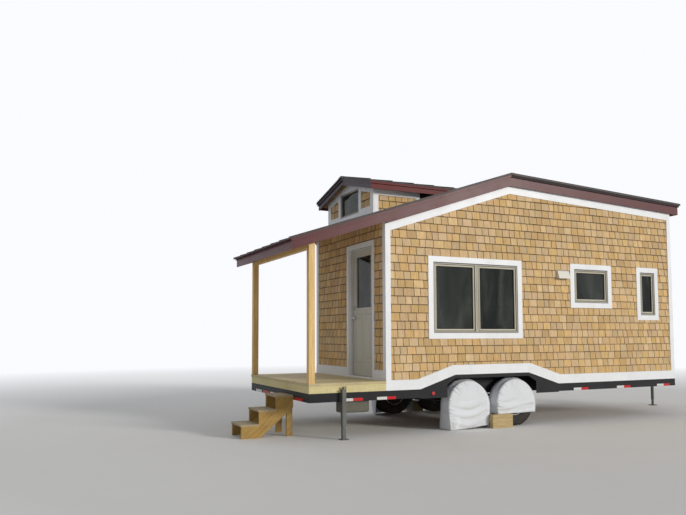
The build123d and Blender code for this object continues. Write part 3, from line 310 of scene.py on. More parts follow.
class Effects:
    """The shared shader node groups, each built once."""

    def __init__(self) -> None:
        """Builds every group."""
        self.grain = self.build_grain()
        self.weather = self.build_weather()
        self.weave = self.build_weave()
        self.speckle = self.build_speckle()

    def build_grain(self) -> bpy.types.NodeTree:
        """Builds the wood grain.

        Returns:
            A group that gives a board's colour and its raised grain.
        """
        tree, given, out = new_group(
            "Wood grain",
            {"Vector": (0.0, 0.0, 0.0), "Stretch": Run.ALONG_X.value, "Light": (0.7, 0.5, 0.3, 1.0),
             "Dark": (0.4, 0.25, 0.1, 1.0), "Contrast": 0.5, "Tone": 0.0}, ("Color", "Height"))
        tone = given["Tone"]
        run = tree.vector("MULTIPLY", given["Vector"], given["Stretch"])
        moved = tree.vector("ADD", run, tree.vector("MULTIPLY", (9.0, 17.0, 5.0), tone))
        bands = tree.noise(moved, 1.0, 4.0, 0.6, 1.2)
        fibres = tree.noise(moved, 5.5, 3.0, 0.7, 0.2)
        share = tree.span(tree.plus(tree.times(bands, 0.65), tree.times(fibres, 0.35)), 0.36, 0.66)

        def swing(rest: float, reach: float, pace: float) -> Socket:
            """Gives a value that swings about its rest with the board's tone."""
            return tree.plus(rest, tree.times(reach, tree.math("SINE", tree.times(tone, pace))))

        bright = tree.add("HueSaturation", {
            "Value": tree.plus(1.0, tree.times(tone, 0.17)),
            "Color": tree.mix(given["Light"], given["Dark"], tree.times(share, given["Contrast"])),
            "Hue": swing(0.5, 0.0035, 57.0), "Saturation": swing(1.0, 0.11, 41.0)})
        tree.feed(out["Color"], bright.outputs[0])
        tree.feed(out["Height"], tree.math("SUBTRACT", 1.0, fibres))
        return tree.tree

    def build_weather(self) -> bpy.types.NodeTree:
        """Builds the weathering of an outdoor surface.

        Returns:
            A group that stains a colour in patches and downward streaks.
        """
        tree, given, out = new_group(
            "Weathering",
            {"Vector": (0.0, 0.0, 0.0), "Color": (0.8, 0.8, 0.8, 1.0), "Stain": (0.3, 0.27, 0.2, 1.0), "Amount": 0.3,
             "Patch Scale": 2.0}, ("Color", "Mask"))
        scaled = tree.add("VectorMath", {0: given["Vector"], "Scale": given["Patch Scale"]}, operation="SCALE")
        patches = tree.noise(scaled.outputs[0], 1.0, 5.0, 0.65, 0.4)
        streaks = tree.noise(tree.vector("MULTIPLY", given["Vector"], (28.0, 28.0, 1.6)), 1.0, 3.0, 0.6)
        mask = tree.times(tree.span(patches, 0.42, 0.72), tree.span(streaks, 0.35, 0.75, 0.25, 1.0))
        mask = tree.times(mask, given["Amount"])
        tree.feed(out["Color"], tree.mix(given["Color"], given["Stain"], mask))
        tree.feed(out["Mask"], mask)
        return tree.tree

    def build_weave(self) -> bpy.types.NodeTree:
        """Builds a plain weave.

        Returns:
            A group that gives the height of crossing threads.
        """
        tree, given, out = new_group("Plain weave", {"Vector": (0.0, 0.0, 0.0), "Threads": 900.0}, ("Height",))
        parts = tree.add("SeparateXYZ", {0: given["Vector"]})
        rows = [tree.math("SINE", tree.times(parts.outputs[i], given["Threads"])) for i in (0, 2)]
        tree.feed(out["Height"], tree.span(tree.times(*rows), -1.0, 1.0))
        return tree.tree

    def build_speckle(self) -> bpy.types.NodeTree:
        """Builds the fine orange peel and dust of a coated surface.

        Returns:
            A group that gives a bump height, a dusted colour and the dust's mask.
        """
        tree, given, out = new_group(
            "Coat and dust",
            {"Vector": (0.0, 0.0, 0.0), "Color": (0.05, 0.05, 0.05, 1.0), "Dust": (0.3, 0.26, 0.2, 1.0), "Amount": 0.2,
             "Peel Scale": 300.0}, ("Color", "Height", "Mask"))
        clouds = tree.noise(given["Vector"], 3.2, 5.0, 0.68)
        grit = tree.noise(given["Vector"], 70.0, 3.0, 0.7)
        mask = tree.times(tree.span(clouds, 0.4, 0.7), tree.span(grit, 0.3, 0.7, 0.35, 1.0))
        mask = tree.times(mask, given["Amount"])
        tree.feed(out["Color"], tree.mix(given["Color"], given["Dust"], mask))
        tree.feed(out["Height"], tree.noise(given["Vector"], given["Peel Scale"], 2.0, 0.5))
        tree.feed(out["Mask"], mask)
        return tree.tree


EFFECTS = Effects()


@dataclass(frozen=True)
class Finish:
    """A surface finish: its name, the record's slot and its main values."""

    name: str
    slot: str
    color: Rgb
    rough: float = 0.5
    metal: float = 0.0
    ior: float = field(default=1.45, kw_only=True)

    def make(self) -> bpy.types.Material:
        """Gives the finish's material, built on its first use.

        Returns:
            The material.
        """
        found = bpy.data.materials.get(self.name)
        if found:
            return found
        material = bpy.data.materials.new(self.name)
        material.diffuse_color = (*self.color, 1.0)
        on = Surface(material)
        on.give(Base_Color=self.color, Roughness=self.rough, Metallic=self.metal, IOR=self.ior)
        self.dress(on)
        on.add("OutputMaterial", {"Surface": on.result})
        return material

    def dress(self, on: Surface) -> None:
        """Adds what this kind of finish shows.

        Args:
            on: The material being built.
        """

    def roughen(self, on: Surface, *wear: tuple[Socket, float]) -> None:
        """Makes worn places duller.

        Args:
            on: The material being built.
            wear: Masks with their weights.
        """
        rough = self.rough
        for mask, weight in reversed(wear):
            rough = on.plus(on.times(mask, weight), rough)
        on.give(Roughness=rough)


@dataclass(frozen=True)
class Timber(Finish):
    """Bare or oiled wood with its grain, in boards that run along x where a board's width is given."""

    dark: Rgb = (0.3, 0.2, 0.1)
    run: Run = Run.ALONG_X
    contrast: float = 0.6
    stain: Rgb = (0.2, 0.17, 0.12)
    weathered: float = 0.25
    board: float = 0.0
    slant: float = 0.0

    def dress(self, on: Surface) -> None:
        """Adds grain, stains, raised fibres and the joints between boards.

        Args:
            on: The material being built.
        """
        tone, joints = on.tone(), None
        if self.board:
            place = on.math("DIVIDE", on.add("SeparateXYZ", {0: on.where}).outputs[1], self.board)
            edge = on.math("ABSOLUTE", on.math("SUBTRACT", on.math("FRACT", place), 0.5))
            joints = on.span(edge, 0.5 - 0.004 / self.board, 0.5 - 0.001 / self.board)
            white = on.add("TexWhiteNoise", {"W": on.math("FLOOR", place)}, noise_dimensions="1D")
            tone = on.span(white.outputs[0], 0.0, 1.0, -1.0, 1.0)
        along = on.add("VectorRotate", {"Vector": on.where, "Angle": radians(self.slant)}, rotation_type="Y_AXIS")
        grain = on.effect(EFFECTS.grain, {
            "Vector": along.outputs[0], "Stretch": self.run.value, "Light": self.color, "Dark": self.dark,
            "Contrast": self.contrast, "Tone": tone})
        worn = on.effect(EFFECTS.weather, {
            "Color": grain["Color"], "Stain": self.stain, "Amount": self.weathered, "Patch Scale": 2.4})
        color, height = worn["Color"], grain["Height"]
        if joints is not None:
            color = on.mix(color, self.stain, on.times(joints, 0.8))
            height = on.math("SUBTRACT", on.times(height, 0.3), joints)
        on.give(Base_Color=color)
        self.roughen(on, (worn["Mask"], 0.25))
        on.bump(height, 0.45, 0.0012)


@dataclass(frozen=True)
class Paint(Finish):
    """Painted wood with a little dirt."""

    dirt: Rgb = (0.28, 0.25, 0.2)
    soiled: float = 0.25
    peel: float = 220.0

    def dress(self, on: Surface) -> None:
        """Adds brush marks and soiling.

        Args:
            on: The material being built.
        """
        worn = on.effect(EFFECTS.weather, {
            "Color": self.color, "Stain": self.dirt, "Amount": self.soiled, "Patch Scale": 1.7})
        coat = on.effect(EFFECTS.speckle, {
            "Color": worn["Color"], "Dust": self.dirt, "Amount": self.soiled * 0.6, "Peel Scale": self.peel})
        on.give(Base_Color=coat["Color"])
        self.roughen(on, (worn["Mask"], 0.4))
        on.bump(coat["Height"], 0.1, 0.0006)


@dataclass(frozen=True)
class Coated(Finish):
    """Painted or bare metal, or moulded plastic, with dust and fine peel."""

    dust: Rgb = (0.25, 0.22, 0.17)
    dusted: float = 0.25
    peel: float = 500.0
    relief: float = 0.12
    coat: float = 0.0

    def dress(self, on: Surface) -> None:
        """Adds dust and the coat's fine relief.

        Args:
            on: The material being built.
        """
        coat = on.effect(EFFECTS.speckle, {
            "Color": self.color, "Dust": self.dust, "Amount": self.dusted, "Peel Scale": self.peel})
        on.give(Base_Color=coat["Color"], Coat_Weight=self.coat)
        self.roughen(on, (coat["Mask"], 0.5))
        on.bump(coat["Height"], self.relief, 0.0005)


@dataclass(frozen=True)
class Glazing(Finish):
    """Dark window glass: mostly mirror-like, with a little see-through."""

    clear: float = 0.5
    haze_and_reflection: Rgb = (0.34, 0.37, 0.34)

    def dress(self, on: Surface) -> None:
        """Adds a faint film of dust, and lighter cloudy patches that are partly haze and partly painted reflection.

        Args:
            on: The material being built.
        """
        film = on.effect(EFFECTS.speckle, {
            "Color": self.color, "Dust": (0.3, 0.3, 0.28), "Amount": 0.06, "Peel Scale": 40.0})
        # Painted reflection: lighter cloudy patches, partly haze, give the dark panes the soft variation of
        # reflections.
        cloud = on.noise(on.vector("MULTIPLY", on.where, (2.2, 2.2, 0.9)), 1.0, 3.0, 0.6, 0.8)
        haze_and_reflection_mask = on.span(cloud, 0.38, 0.7, 0.0, 0.5)
        on.give(Base_Color=on.mix(film["Color"], self.haze_and_reflection, haze_and_reflection_mask), Transmission_Weight=self.clear)
        self.roughen(on, (film["Mask"], 0.6), (haze_and_reflection_mask, 0.08))


@dataclass(frozen=True)
class Cloth(Finish):
    """Coated woven fabric with faint creases and a dusty hem."""

    # The colour of stains and dust, and also of the painted shade in the folds' hollows.
    soil_and_fold_shade: Rgb = (0.35, 0.31, 0.25)
    threads: float = 1400.0

    def dress(self, on: Surface) -> None:
        """Adds the weave, soft creases, stains, painted shade in the folds' hollows and the dust near the ground.

        Args:
            on: The material being built.
        """
        worn = on.effect(EFFECTS.weather, {
            "Color": self.color, "Stain": self.soil_and_fold_shade, "Amount": 0.22, "Patch Scale": 3.0})
        weave = on.effect(EFFECTS.weave, {"Threads": self.threads})
        height = on.add("SeparateXYZ", {0: on.where}).outputs[2]
        splash = on.times(on.span(height, 0.24, 0.0, 0.0, 0.35), on.noise(on.where, 9.0, 4.0, 0.7))
        # Painted shade: the folds' hollows, marked by the tone, are darkened.
        painted_fold_shade = on.span(on.tone(), 0.2, -1.0, 0.0, 0.34)
        shaded = on.mix(worn["Color"], self.soil_and_fold_shade, on.times(painted_fold_shade, 0.9))
        creases = on.noise(on.vector("MULTIPLY", on.where, (1.0, 1.0, 2.2)), 11.0, 4.0, 0.6, 0.8)
        on.give(Base_Color=on.mix(shaded, self.soil_and_fold_shade, splash), Sheen_Weight=0.25)
        on.bump(on.plus(creases, on.times(weave["Height"], 0.03)), 0.35, 0.01)


@dataclass(frozen=True)
class Tape(Finish):
    """Retroreflective tape with its honeycomb."""

    cells: float = 230.0

    def dress(self, on: Surface) -> None:
        """Adds the honeycomb of sealed cells and road dust.

        Args:
            on: The material being built.
        """
        cells = on.add("TexVoronoi", {"Vector": on.where, "Scale": self.cells, "Randomness": 0.15},
                       feature="DISTANCE_TO_EDGE")
        wall = on.span(cells.outputs[0], 0.02, 0.09, 0.75, 1.0)
        coat = on.effect(EFFECTS.speckle, {
            "Color": on.mix((0.0, 0.0, 0.0), self.color, wall), "Dust": (0.3, 0.27, 0.22), "Amount": 0.16,
            "Peel Scale": 200.0})
        on.give(Base_Color=coat["Color"], Coat_Weight=0.3)
        on.bump(wall, 0.2, 0.0004)


class Finishes:
    """Every finish of the house, named for where it is used."""

    shingle = Timber("Cedar shingle", "cedar_siding", paint(226, 194, 144), 0.78, dark=paint(176, 140, 94),
                     run=Run.UPRIGHT, stain=paint(172, 128, 84), weathered=0.3)
    # Painted shade: the walls' outer faces behind the shingles are dark, so that the gaps between shingles read as
    # shadow.
    shaded_sheathing = Timber("Wall sheathing", "cedar_siding", paint(84, 56, 34), 0.85, dark=paint(52, 34, 22),
                      run=Run.UPRIGHT, contrast=0.5)
    pine = Timber("Pine lining boards", "cedar_siding", paint(206, 172, 120), 0.6, dark=paint(170, 124, 74),
                  contrast=0.5, weathered=0.1)
    panel = Timber("Roof panel timber", "framing_timber", paint(196, 160, 108), 0.7, dark=paint(150, 108, 62),
                   board=0.14)
    floor = Timber("Floor boards", "framing_timber", paint(182, 138, 86), 0.45, dark=paint(128, 84, 44),
                   weathered=0.12, board=0.12)
    deck = Timber("Deck timber", "deck_timber", paint(214, 200, 156), 0.68, dark=paint(158, 132, 88), contrast=0.55,
                  weathered=0.35)
    rim = Timber("Rim timber", "deck_timber", paint(226, 216, 164), 0.66, dark=paint(190, 164, 100), contrast=0.45,
                 weathered=0.28)
    post = Timber("Post timber", "post_timber", paint(240, 206, 140), 0.6, dark=paint(196, 146, 78), run=Run.UPRIGHT,
                  contrast=0.65, weathered=0.16)
    tread = Timber("Tread timber", "deck_timber", paint(180, 164, 132), 0.74, dark=paint(128, 110, 80),
                   run=Run.ALONG_Y, weathered=0.5)
    stringer = Timber("Stringer timber", "step_timber", paint(186, 152, 82), 0.7, dark=paint(112, 80, 34),
                      contrast=0.75, weathered=0.3, slant=38.0)
    block = Timber("Block timber", "block_timber", paint(204, 182, 134), 0.8, dark=paint(146, 118, 76), contrast=0.8,
                   weathered=0.3)
    trim = Paint("White trim paint", "white_trim", paint(240, 243, 247), 0.42, dirt=paint(176, 172, 164), soiled=0.22)
    fascia = Paint("Fascia paint", "fascia_paint", paint(88, 38, 42), 0.36, dirt=paint(126, 84, 84), soiled=0.24,
                   ior=1.27)
    # Lit and shaded copies of the fascia paint for the dormer: its side eaves are painted sunlit, redder and lighter,
    # and its front rake is painted shade, dark slate.
    dormer_sunlit_fascia = Paint("Dormer eave paint", "fascia_paint", paint(104, 38, 38), 0.42, dirt=paint(128, 76, 72), soiled=0.16,
                 ior=1.2)
    dormer_shaded_fascia = Paint("Dormer rake paint", "fascia_paint", paint(56, 46, 58), 0.4, dirt=paint(100, 92, 98), soiled=0.16,
                 ior=1.3)
    window = Paint("Window frame paint", "window_paint", paint(150, 145, 134), 0.42, soiled=0.15)
    sash = Paint("Window sash paint", "window_paint", paint(196, 190, 170), 0.42, soiled=0.12)
    door = Paint("Door paint", "door_paint", paint(198, 196, 184), 0.4, soiled=0.12)
    drip = Coated("Drip edge metal", "fascia_paint", paint(34, 24, 28), 0.6, dust=paint(90, 78, 76), dusted=0.14,
                  ior=1.3)
    roofing = Coated("Roofing metal", "roofing_metal", paint(54, 42, 44), dust=paint(112, 98, 92), ior=1.4)
    chassis = Coated("Chassis paint", "chassis_paint", paint(25, 25, 30), 0.42, dust=paint(76, 70, 66), dusted=0.16,
                     ior=1.27)
    spring = Coated("Spring steel", "spring_steel", paint(44, 42, 40), 0.6, 0.6, dust=paint(110, 84, 60), dusted=0.5)
    zinc = Coated("Zinc steel", "zinc_steel", paint(94, 96, 93), 0.48, 0.6, dust=paint(80, 74, 64), dusted=0.35)
    steel = Coated("Satin hardware steel", "hardware_steel", paint(176, 172, 162), 0.3, 0.95, dusted=0.08)
    wheel = Coated("Wheel paint", "rim_paint", paint(212, 212, 212), 0.35, dust=paint(90, 76, 60), dusted=0.4, coat=0.3)
    tyre = Coated("Tyre rubber", "tyre_rubber", paint(34, 34, 34), 0.78, dust=paint(112, 98, 78), dusted=0.45,
                  peel=700.0, relief=0.3)
    vent = Coated("Vent paint", "vent_metal", paint(232, 229, 218), 0.45, dusted=0.16)
    tank = Coated("Tank plastic", "tank_plastic", paint(86, 84, 72), dusted=0.3, relief=0.25)
    # Near-black rubber for the seals, also used for painted shade: the dark lines round the window frames and on their
    # posts, the door's gap and the vent's opening.
    seal_and_shade = Coated("Rubber seal", "window_paint", paint(28, 28, 28), 0.7, dusted=0.15)
    lens = Coated("Marker lens", "marker_plastic", paint(196, 28, 26), 0.2, dusted=0.12, coat=0.8)
    glass = Glazing("Window glass", "window_glass", paint(48, 54, 52), 0.03, clear=0.7, ior=1.25)
    cover = Cloth("Wheel cover fabric", "cover_fabric", paint(230, 234, 240), 0.66)
    tape_white = Tape("White reflective tape", "chassis_paint", paint(228, 228, 228), 0.3, ior=1.3)
    tape_red = Tape("Red reflective tape", "chassis_paint", paint(206, 14, 24), 0.3, ior=1.3)


# ---- Outlines and meshes ----


def rectangle(u0: float, u1: float, z0: float, z1: float, grow: float = 0.0) -> list[Flat]:
    """Gives a rectangle's corners, counterclockwise, grown on all sides."""
    return [(u0 - grow, z0 - grow), (u1 + grow, z0 - grow), (u1 + grow, z1 + grow), (u0 - grow, z1 + grow)]


def edges(outline: Sequence) -> list[tuple]:
    """Gives an outline's edges as pairs of corners."""
    return list(zip(outline, [*outline[1:], *outline[:1]]))


def area(outline: Sequence[Flat]) -> float:
    """Gives an outline's area."""
    return sum(a[0] * b[1] - b[0] * a[1] for a, b in edges(outline)) / 2


def clip(outline: Sequence[Flat], start: Flat, end: Flat) -> list[Flat]:
    """Keeps the part of a convex outline to the left of a line.

    Args:
        outline: The outline's corners, counterclockwise.
        start: A point of the line.
        end: A later point of the line.

    Returns:
        What is left, which may be empty.
    """
    def side(p: Flat) -> float:
        """Tells how far left of the line a point lies."""
        return (end[0] - start[0]) * (p[1] - start[1]) - (end[1] - start[1]) * (p[0] - start[0])

    kept: list[Flat] = []
    for i, here in enumerate(outline):
        back = outline[i - 1]
        a, b = side(back), side(here)
        if (a < 0) != (b < 0):
            share = a / (a - b)
            kept.append((back[0] + (here[0] - back[0]) * share, back[1] + (here[1] - back[1]) * share))
        if b >= 0:
            kept.append(here)
    return kept


def cut_out(outline: list[Flat], hole: Sequence[Flat]) -> list[list[Flat]]:
    """Takes a convex hole out of a convex outline.

    Args:
        outline: The outline's corners, counterclockwise.
        hole: The hole's corners, counterclockwise.

    Returns:
        The convex pieces that are left.
    """
    for axis in (0, 1):
        own, other = ([p[axis] for p in corners] for corners in (outline, hole))
        if max(own) <= min(other) or min(own) >= max(other):
            return [outline]
    pieces, rest = [], outline
    for start, end in edges(hole):
        outside = clip(rest, end, start)
        if area(outside) > SLIVER:
            pieces.append(outside)
        rest = clip(rest, start, end)
        if area(rest) <= SLIVER:
            break
    return pieces


def ease(piece: bpy.types.Object, width: float) -> None:
    """Eases a piece's sharp edges to a width."""
    put(piece.modifiers.new("Eased edges", "BEVEL"), width=width, segments=2, limit_method="ANGLE",
        angle_limit=radians(40), use_clamp_overlap=True, harden_normals=False)


class Shape:
    """Collects the corners and faces of one piece, in metres from the house's corner."""

    def __init__(self) -> None:
        """Starts empty."""
        self.points: list[Vector] = []
        self.faces: list[tuple[int, ...]] = []
        self.tones: list[float] = []

    def mesh(self, points: Sequence[Sequence[float]], faces: Sequence[Sequence[int]], tone: float = 0.0) -> None:
        """Adds joined faces.

        Args:
            points: Their corners.
            faces: The corners' numbers for each face.
            tone: How light their wood is, from -1 to 1.
        """
        start = len(self.points)
        self.points += [Vector(p) for p in points]
        self.faces += [tuple(start + i for i in f) for f in faces]
        self.tones += [tone] * len(faces)

    def stack(self, rings: Sequence[Sequence[Point]], flip: bool = False, caps: tuple = (True, True)) -> None:
        """Adds a form that passes through rings of points.

        Args:
            rings: The rings, with as many points in each.
            flip: Whether its faces are turned over.
            caps: Whether its first and its last ring are closed.
        """
        n, last = len(rings[0]), len(rings) - 1
        faces = [(r * n + i, r * n + (i + 1) % n, (r + 1) * n + (i + 1) % n, (r + 1) * n + i)
                 for r in range(last) for i in range(n)]
        if caps[0]:
            faces.append(tuple(range(n))[::-1])
        if caps[1]:
            faces.append(tuple(range(last * n, last * n + n)))
        self.mesh([p for ring in rings for p in ring], [f[::-1] for f in faces] if flip else faces)

    def block(self, low: Point, high: Point) -> None:
        """Adds a rectangular block between two opposite corners."""
        (x0, x1), (y0, y1), (z0, z1) = (sorted(pair) for pair in zip(low, high))
        self.stack([[(x, y, z) for x, y in rectangle(x0, x1, y0, y1)] for z in (z0, z1)])

    def prism(self, outline: Sequence[Sequence[float]], along: Sequence[float]) -> None:
        """Adds an outline swept along a straight line.

        Args:
            outline: The outline's corners.
            along: The sweep.
        """
        near, way = [Vector(p) for p in outline], Vector(along)
        normal = (near[1] - near[0]).cross(near[2] - near[0])
        self.stack([near, [p + way for p in near]], flip=normal.dot(way) <= 0)

    def turned(self, centre: Point, axis: Point, profile: Sequence[Flat], sides: int = 24) -> None:
        """Adds a turned form.

        Args:
            centre: The start of its axis.
            axis: The axis's direction.
            profile: Radius and distance along the axis, from one end to the other.
            sides: How many sides it has.
        """
        way = Vector(axis).normalized()
        first = way.orthogonal().normalized()
        second = way.cross(first)
        turns = [tau * i / sides for i in range(sides)]
        rings = [[Vector(centre) + way * along + (first * cos(turn) + second * sin(turn)) * radius for turn in turns]
                 for radius, along in profile]
        self.stack(rings, caps=(profile[0][0] > 1e-5, profile[-1][0] > 1e-5))

    def build(self, name: str, finish: Finish, body: str = "house", bevel: float = 0.0,
              smooth: bool = False) -> bpy.types.Object:
        """Makes the piece and puts it on its body.

        Args:
            name: The piece's name.
            finish: Its finish.
            body: The body that it moves with.
            bevel: The width of its eased edges.
            smooth: Whether its faces are shaded smooth.

        Returns:
            The new object.
        """
        data = new_mesh(name, self.points, self.faces)
        data.attributes.new("tone", "FLOAT", "FACE").data.foreach_set("value", self.tones)
        data.materials.append(finish.make())
        if smooth:
            data.shade_smooth()
        data.update()
        piece = placed(name, data)
        if bevel:
            ease(piece, bevel)
        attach(piece, body)
        LOG.info("%s: %d faces", name, len(self.faces))
        return piece


# ---- The house ----


class Side(Enum):
    """A face that carries shingles: the axis along it, its outward axis and its plane."""

    NEAR = ((1, 0, 0), (0, -1, 0), (0, 0.019, 0))
    FAR = ((1, 0, 0), (0, 1, 0), (0, 2.571, 0))
    PORCH = ((0, 1, 0), (-1, 0, 0), (0.019, 0, 0))
    TOW = ((0, 1, 0), (1, 0, 0), (6.077, 0, 0))
    DORMER_FRONT = ((0, 1, 0), (-1, 0, 0), (0.059, 0, 0))
    DORMER_NEAR = ((1, 0, 0), (0, -1, 0), (0, 0.459, 0))
    DORMER_FAR = ((1, 0, 0), (0, 1, 0), (0, 2.131, 0))


@dataclass
class Shingles:
    """The cedar shingles of one face, laid in courses and cut round what stands in it."""

    name: str
    side: Side
    region: list[Flat]
    holes: list[list[Flat]] = field(default_factory=list)
    seed: int = 1
    course_start: float = 0.8
    exposure: float = 0.125
    narrowest: float = 0.085
    widest: float = 0.2
    usual: float = 0.13
    gap: float = 0.0085
    butt: float = 0.0155
    tip: float = 0.0035
    tuck: float = 0.004
    uneven: float = 0.0018
    thicker: float = 0.0015
    cupped: float = 0.001
    tone_spread: float = 0.5
    # Darker sides and butts: partly the end grain's own colour, partly painted shade in the gaps and under the butts.
    end_grain_and_shade_tone: float = -4.5
    # Painted shadow: a strip this high at the top of each shingle's face, just below the next course's butt, takes this
    # darker tone.
    shaded: float = 0.013
    painted_shadow_tone: float = -3.9

    def build(self) -> None:
        """Lays the face."""
        chance, shape = random.Random(self.seed), Shape()
        (left, right), (low, high) = ((min(p), max(p)) for p in zip(*self.region))
        course = self.course_start
        while course > low:
            course -= self.exposure
        while course < high:
            place = left - chance.uniform(0.0, self.widest)
            while place < right:
                width = chance.triangular(self.narrowest, self.widest, self.usual)
                drop = chance.uniform(-self.uneven, self.uneven)
                self.lay(shape, place, place + width - self.gap, course + drop, course, chance)
                place += width
            course += self.exposure
        shape.build(self.name, Finishes.shingle)

    def lay(self, shape: Shape, u0: float, u1: float, z0: float, course: float, chance: random.Random) -> None:
        """Lays one shingle.

        Args:
            shape: The face's mesh.
            u0: Its left edge.
            u1: Its right edge.
            z0: Its lower edge.
            course: Its course's height.
            chance: The source of its small differences.
        """
        outline = rectangle(u0, u1, z0, course + self.exposure + self.tuck)
        for start, end in edges(self.region):
            outline = clip(outline, start, end)
        pieces = [outline] if area(outline) > 2 * SLIVER else []
        for hole in self.holes:
            pieces = [part for piece in pieces for part in cut_out(piece, hole)]
        tone = limit(chance.gauss(0.0, self.tone_spread), -1.0)
        butt = self.butt + chance.uniform(-self.thicker, self.thicker)
        cup = chance.uniform(-self.cupped, self.cupped)
        along, out, base = (Vector(v) for v in self.side.value)
        turned = along.cross(Vector(UP)).dot(out) < 0

        def at(u: float, z: float, raised: bool = True) -> Vector:
            """Places a point of the shingle's face, or of the wall behind it."""
            lift = butt + (self.tip - butt) * ((z - course) / self.exposure) + cup * (u - (u0 + u1) / 2) / 0.05
            return base + along * u + Vector((0, 0, z)) + out * (lift if raised else 0.0)

        def face(corners: list[Vector], shade: float) -> None:
            """Adds a face of the shingle."""
            shape.mesh(corners[::-1] if turned else corners, [range(len(corners))], tone + shade)

        # Painted shadow: the face is split at this line, and the strip above it, under the next course's butt, is
        # darker.
        line = course + self.exposure - self.shaded
        for piece in pieces:
            for start, end, shade in (((1.0, line), (0.0, line), 0.0), ((0.0, line), (1.0, line), self.painted_shadow_tone)):
                part = clip(piece, start, end)
                if area(part) > SLIVER:
                    face([at(*p) for p in part], shade)
            # The sides and butts take the darker edge tone: end grain, and painted shade in the gaps.
            for a, b in edges(piece):
                face([at(*a, False), at(*b, False), at(*b), at(*a)], self.end_grain_and_shade_tone)


@dataclass
class Cladding:
    """All the shingled faces of the house and its dormer."""

    clearance: float = 0.0015
    hump: Box = (0.547, 1.179, 2.699, 3.331)
    vent: Box = (3.306, 3.554, 2.409, 2.556)
    door: Flat = (0.369, 1.322)
    door_head: float = 2.925
    base_top: float = 0.942
    porch_head: float = 0.125
    panel: Flat = (0.55, 0.87)
    panel_foot: float = 3.484
    dormer_front: float = 0.131
    dormer_course: float = 3.44
    dormer_eave: float = 0.091
    front_board: float = 0.105
    side_board: float = 0.133
    band_ends: tuple = ((0.0, 0.4), (1.3, SIZES.width))
    band_foot: float = 0.7
    lap: float = 0.055

    def build(self) -> None:
        """Lays every face."""
        s, gap = SIZES, self.clearance
        low, high, foot = s.board + gap, s.length - s.board - gap, s.frieze_foot + gap
        region = [(low, s.skirt_z + gap), (high, s.skirt_z + gap), (high, s.roof(high) - foot),
                  (s.ridge_x, s.ridge_z - foot), (low, s.roof(low) - foot)]
        a, b, c, d = self.hump
        hump = [(a, s.skirt_z), (d, s.skirt_z), (c, s.crown_z + gap), (b, s.crown_z + gap)]
        casings = [rectangle(x, x + w, z, z + h, s.board + gap) for x, z, w, h, _ in s.windows]
        vent = rectangle(*self.vent, gap)
        Shingles("near_wall_shingles", Side.NEAR, region, [hump, vent, *casings], 11).build()
        Shingles("far_wall_shingles", Side.FAR, region, [hump, *casings], 23).build()
        near, far = s.board + gap, s.width - s.board - gap
        door = rectangle(self.door[0] - gap, self.door[1] + gap, self.band_foot, self.door_head + gap)
        bands = [rectangle(y0, y1, self.band_foot, self.base_top + gap) for y0, y1 in self.band_ends]
        region = rectangle(near, far, s.floor_z, s.roof(s.trim) - self.porch_head - gap)
        Shingles("porch_wall_shingles", Side.PORCH, region, [door, *bands], 31, self.base_top).build()
        region = rectangle(near, far, s.skirt_z + gap, s.roof(s.length) - foot)
        Shingles("tow_wall_shingles", Side.TOW, region, seed=41).build()
        self.dormer()
        self.flashing()

    def dormer(self) -> None:
        """Lays the dormer's faces."""
        s, gap = SIZES, self.clearance
        (left, right), foot = self.panel, self.panel_foot + gap
        heads = [s.dormer(y) - self.dormer_eave - self.front_board - gap for y in (right, left)]
        near = [(left + gap, foot), (right - gap, foot), (right - gap, heads[0]), (left + gap, heads[1])]
        far = [(s.width - y, z) for y, z in reversed(near)]
        for name, panel, seed in (("near", near, 51), ("far", far, 53)):
            Shingles(f"dormer_{name}_panel_shingles", Side.DORMER_FRONT, panel, [], seed, self.panel_foot).build()
        top = s.dormer(s.dormer_near) - self.dormer_eave - self.side_board - gap
        first, last = self.dormer_front, s.dormer_board - gap
        side = [(first, s.roof(first) + gap), (last, s.roof(last) + gap), (last, top), (first, top)]
        for name, way, seed in (("near", Side.DORMER_NEAR, 61), ("far", Side.DORMER_FAR, 63)):
            Shingles(f"dormer_{name}_side_shingles", way, side, [], seed, self.dormer_course).build()

    def flashing(self) -> None:
        """Covers the ends of the dormer's sides with bent sheet that laps onto the roof."""
        s, shape = SIZES, Shape()
        wall = s.dormer_near + s.trim
        top = s.dormer(wall) - 0.093
        start, end = s.dormer_board + 0.062, s.ridge_x - (s.ridge_z - top) / s.rear_fall - 0.01
        for mirror in (False, True):
            def at(x: float, y: float, lift: float) -> Point:
                """Gives a point over the roof, on this side of the house."""
                return x, s.width - y if mirror else y, s.roof(x) + lift

            shape.prism([at(start, wall, 0.001), at(end, wall, 0.001), at(end, wall, top - s.roof(end)),
                         at(start, wall, top - s.roof(start))], (0, 0.0014 if mirror else -0.0014, 0))
            shape.prism([at(x, y, 0.0004) for x, y in rectangle(start, end, wall, wall - self.lap)], (0, 0, 0.0012))
            for i in range(4):
                place = at(start + (end - start) * (i + 0.5) / 5, wall - self.lap * 0.6, 0.0012)
                shape.turned(place, UP, [(0.006, 0.0), (0.006, 0.003), (0.0, 0.005)], 8)
        shape.build("dormer_flashing", Finishes.drip)


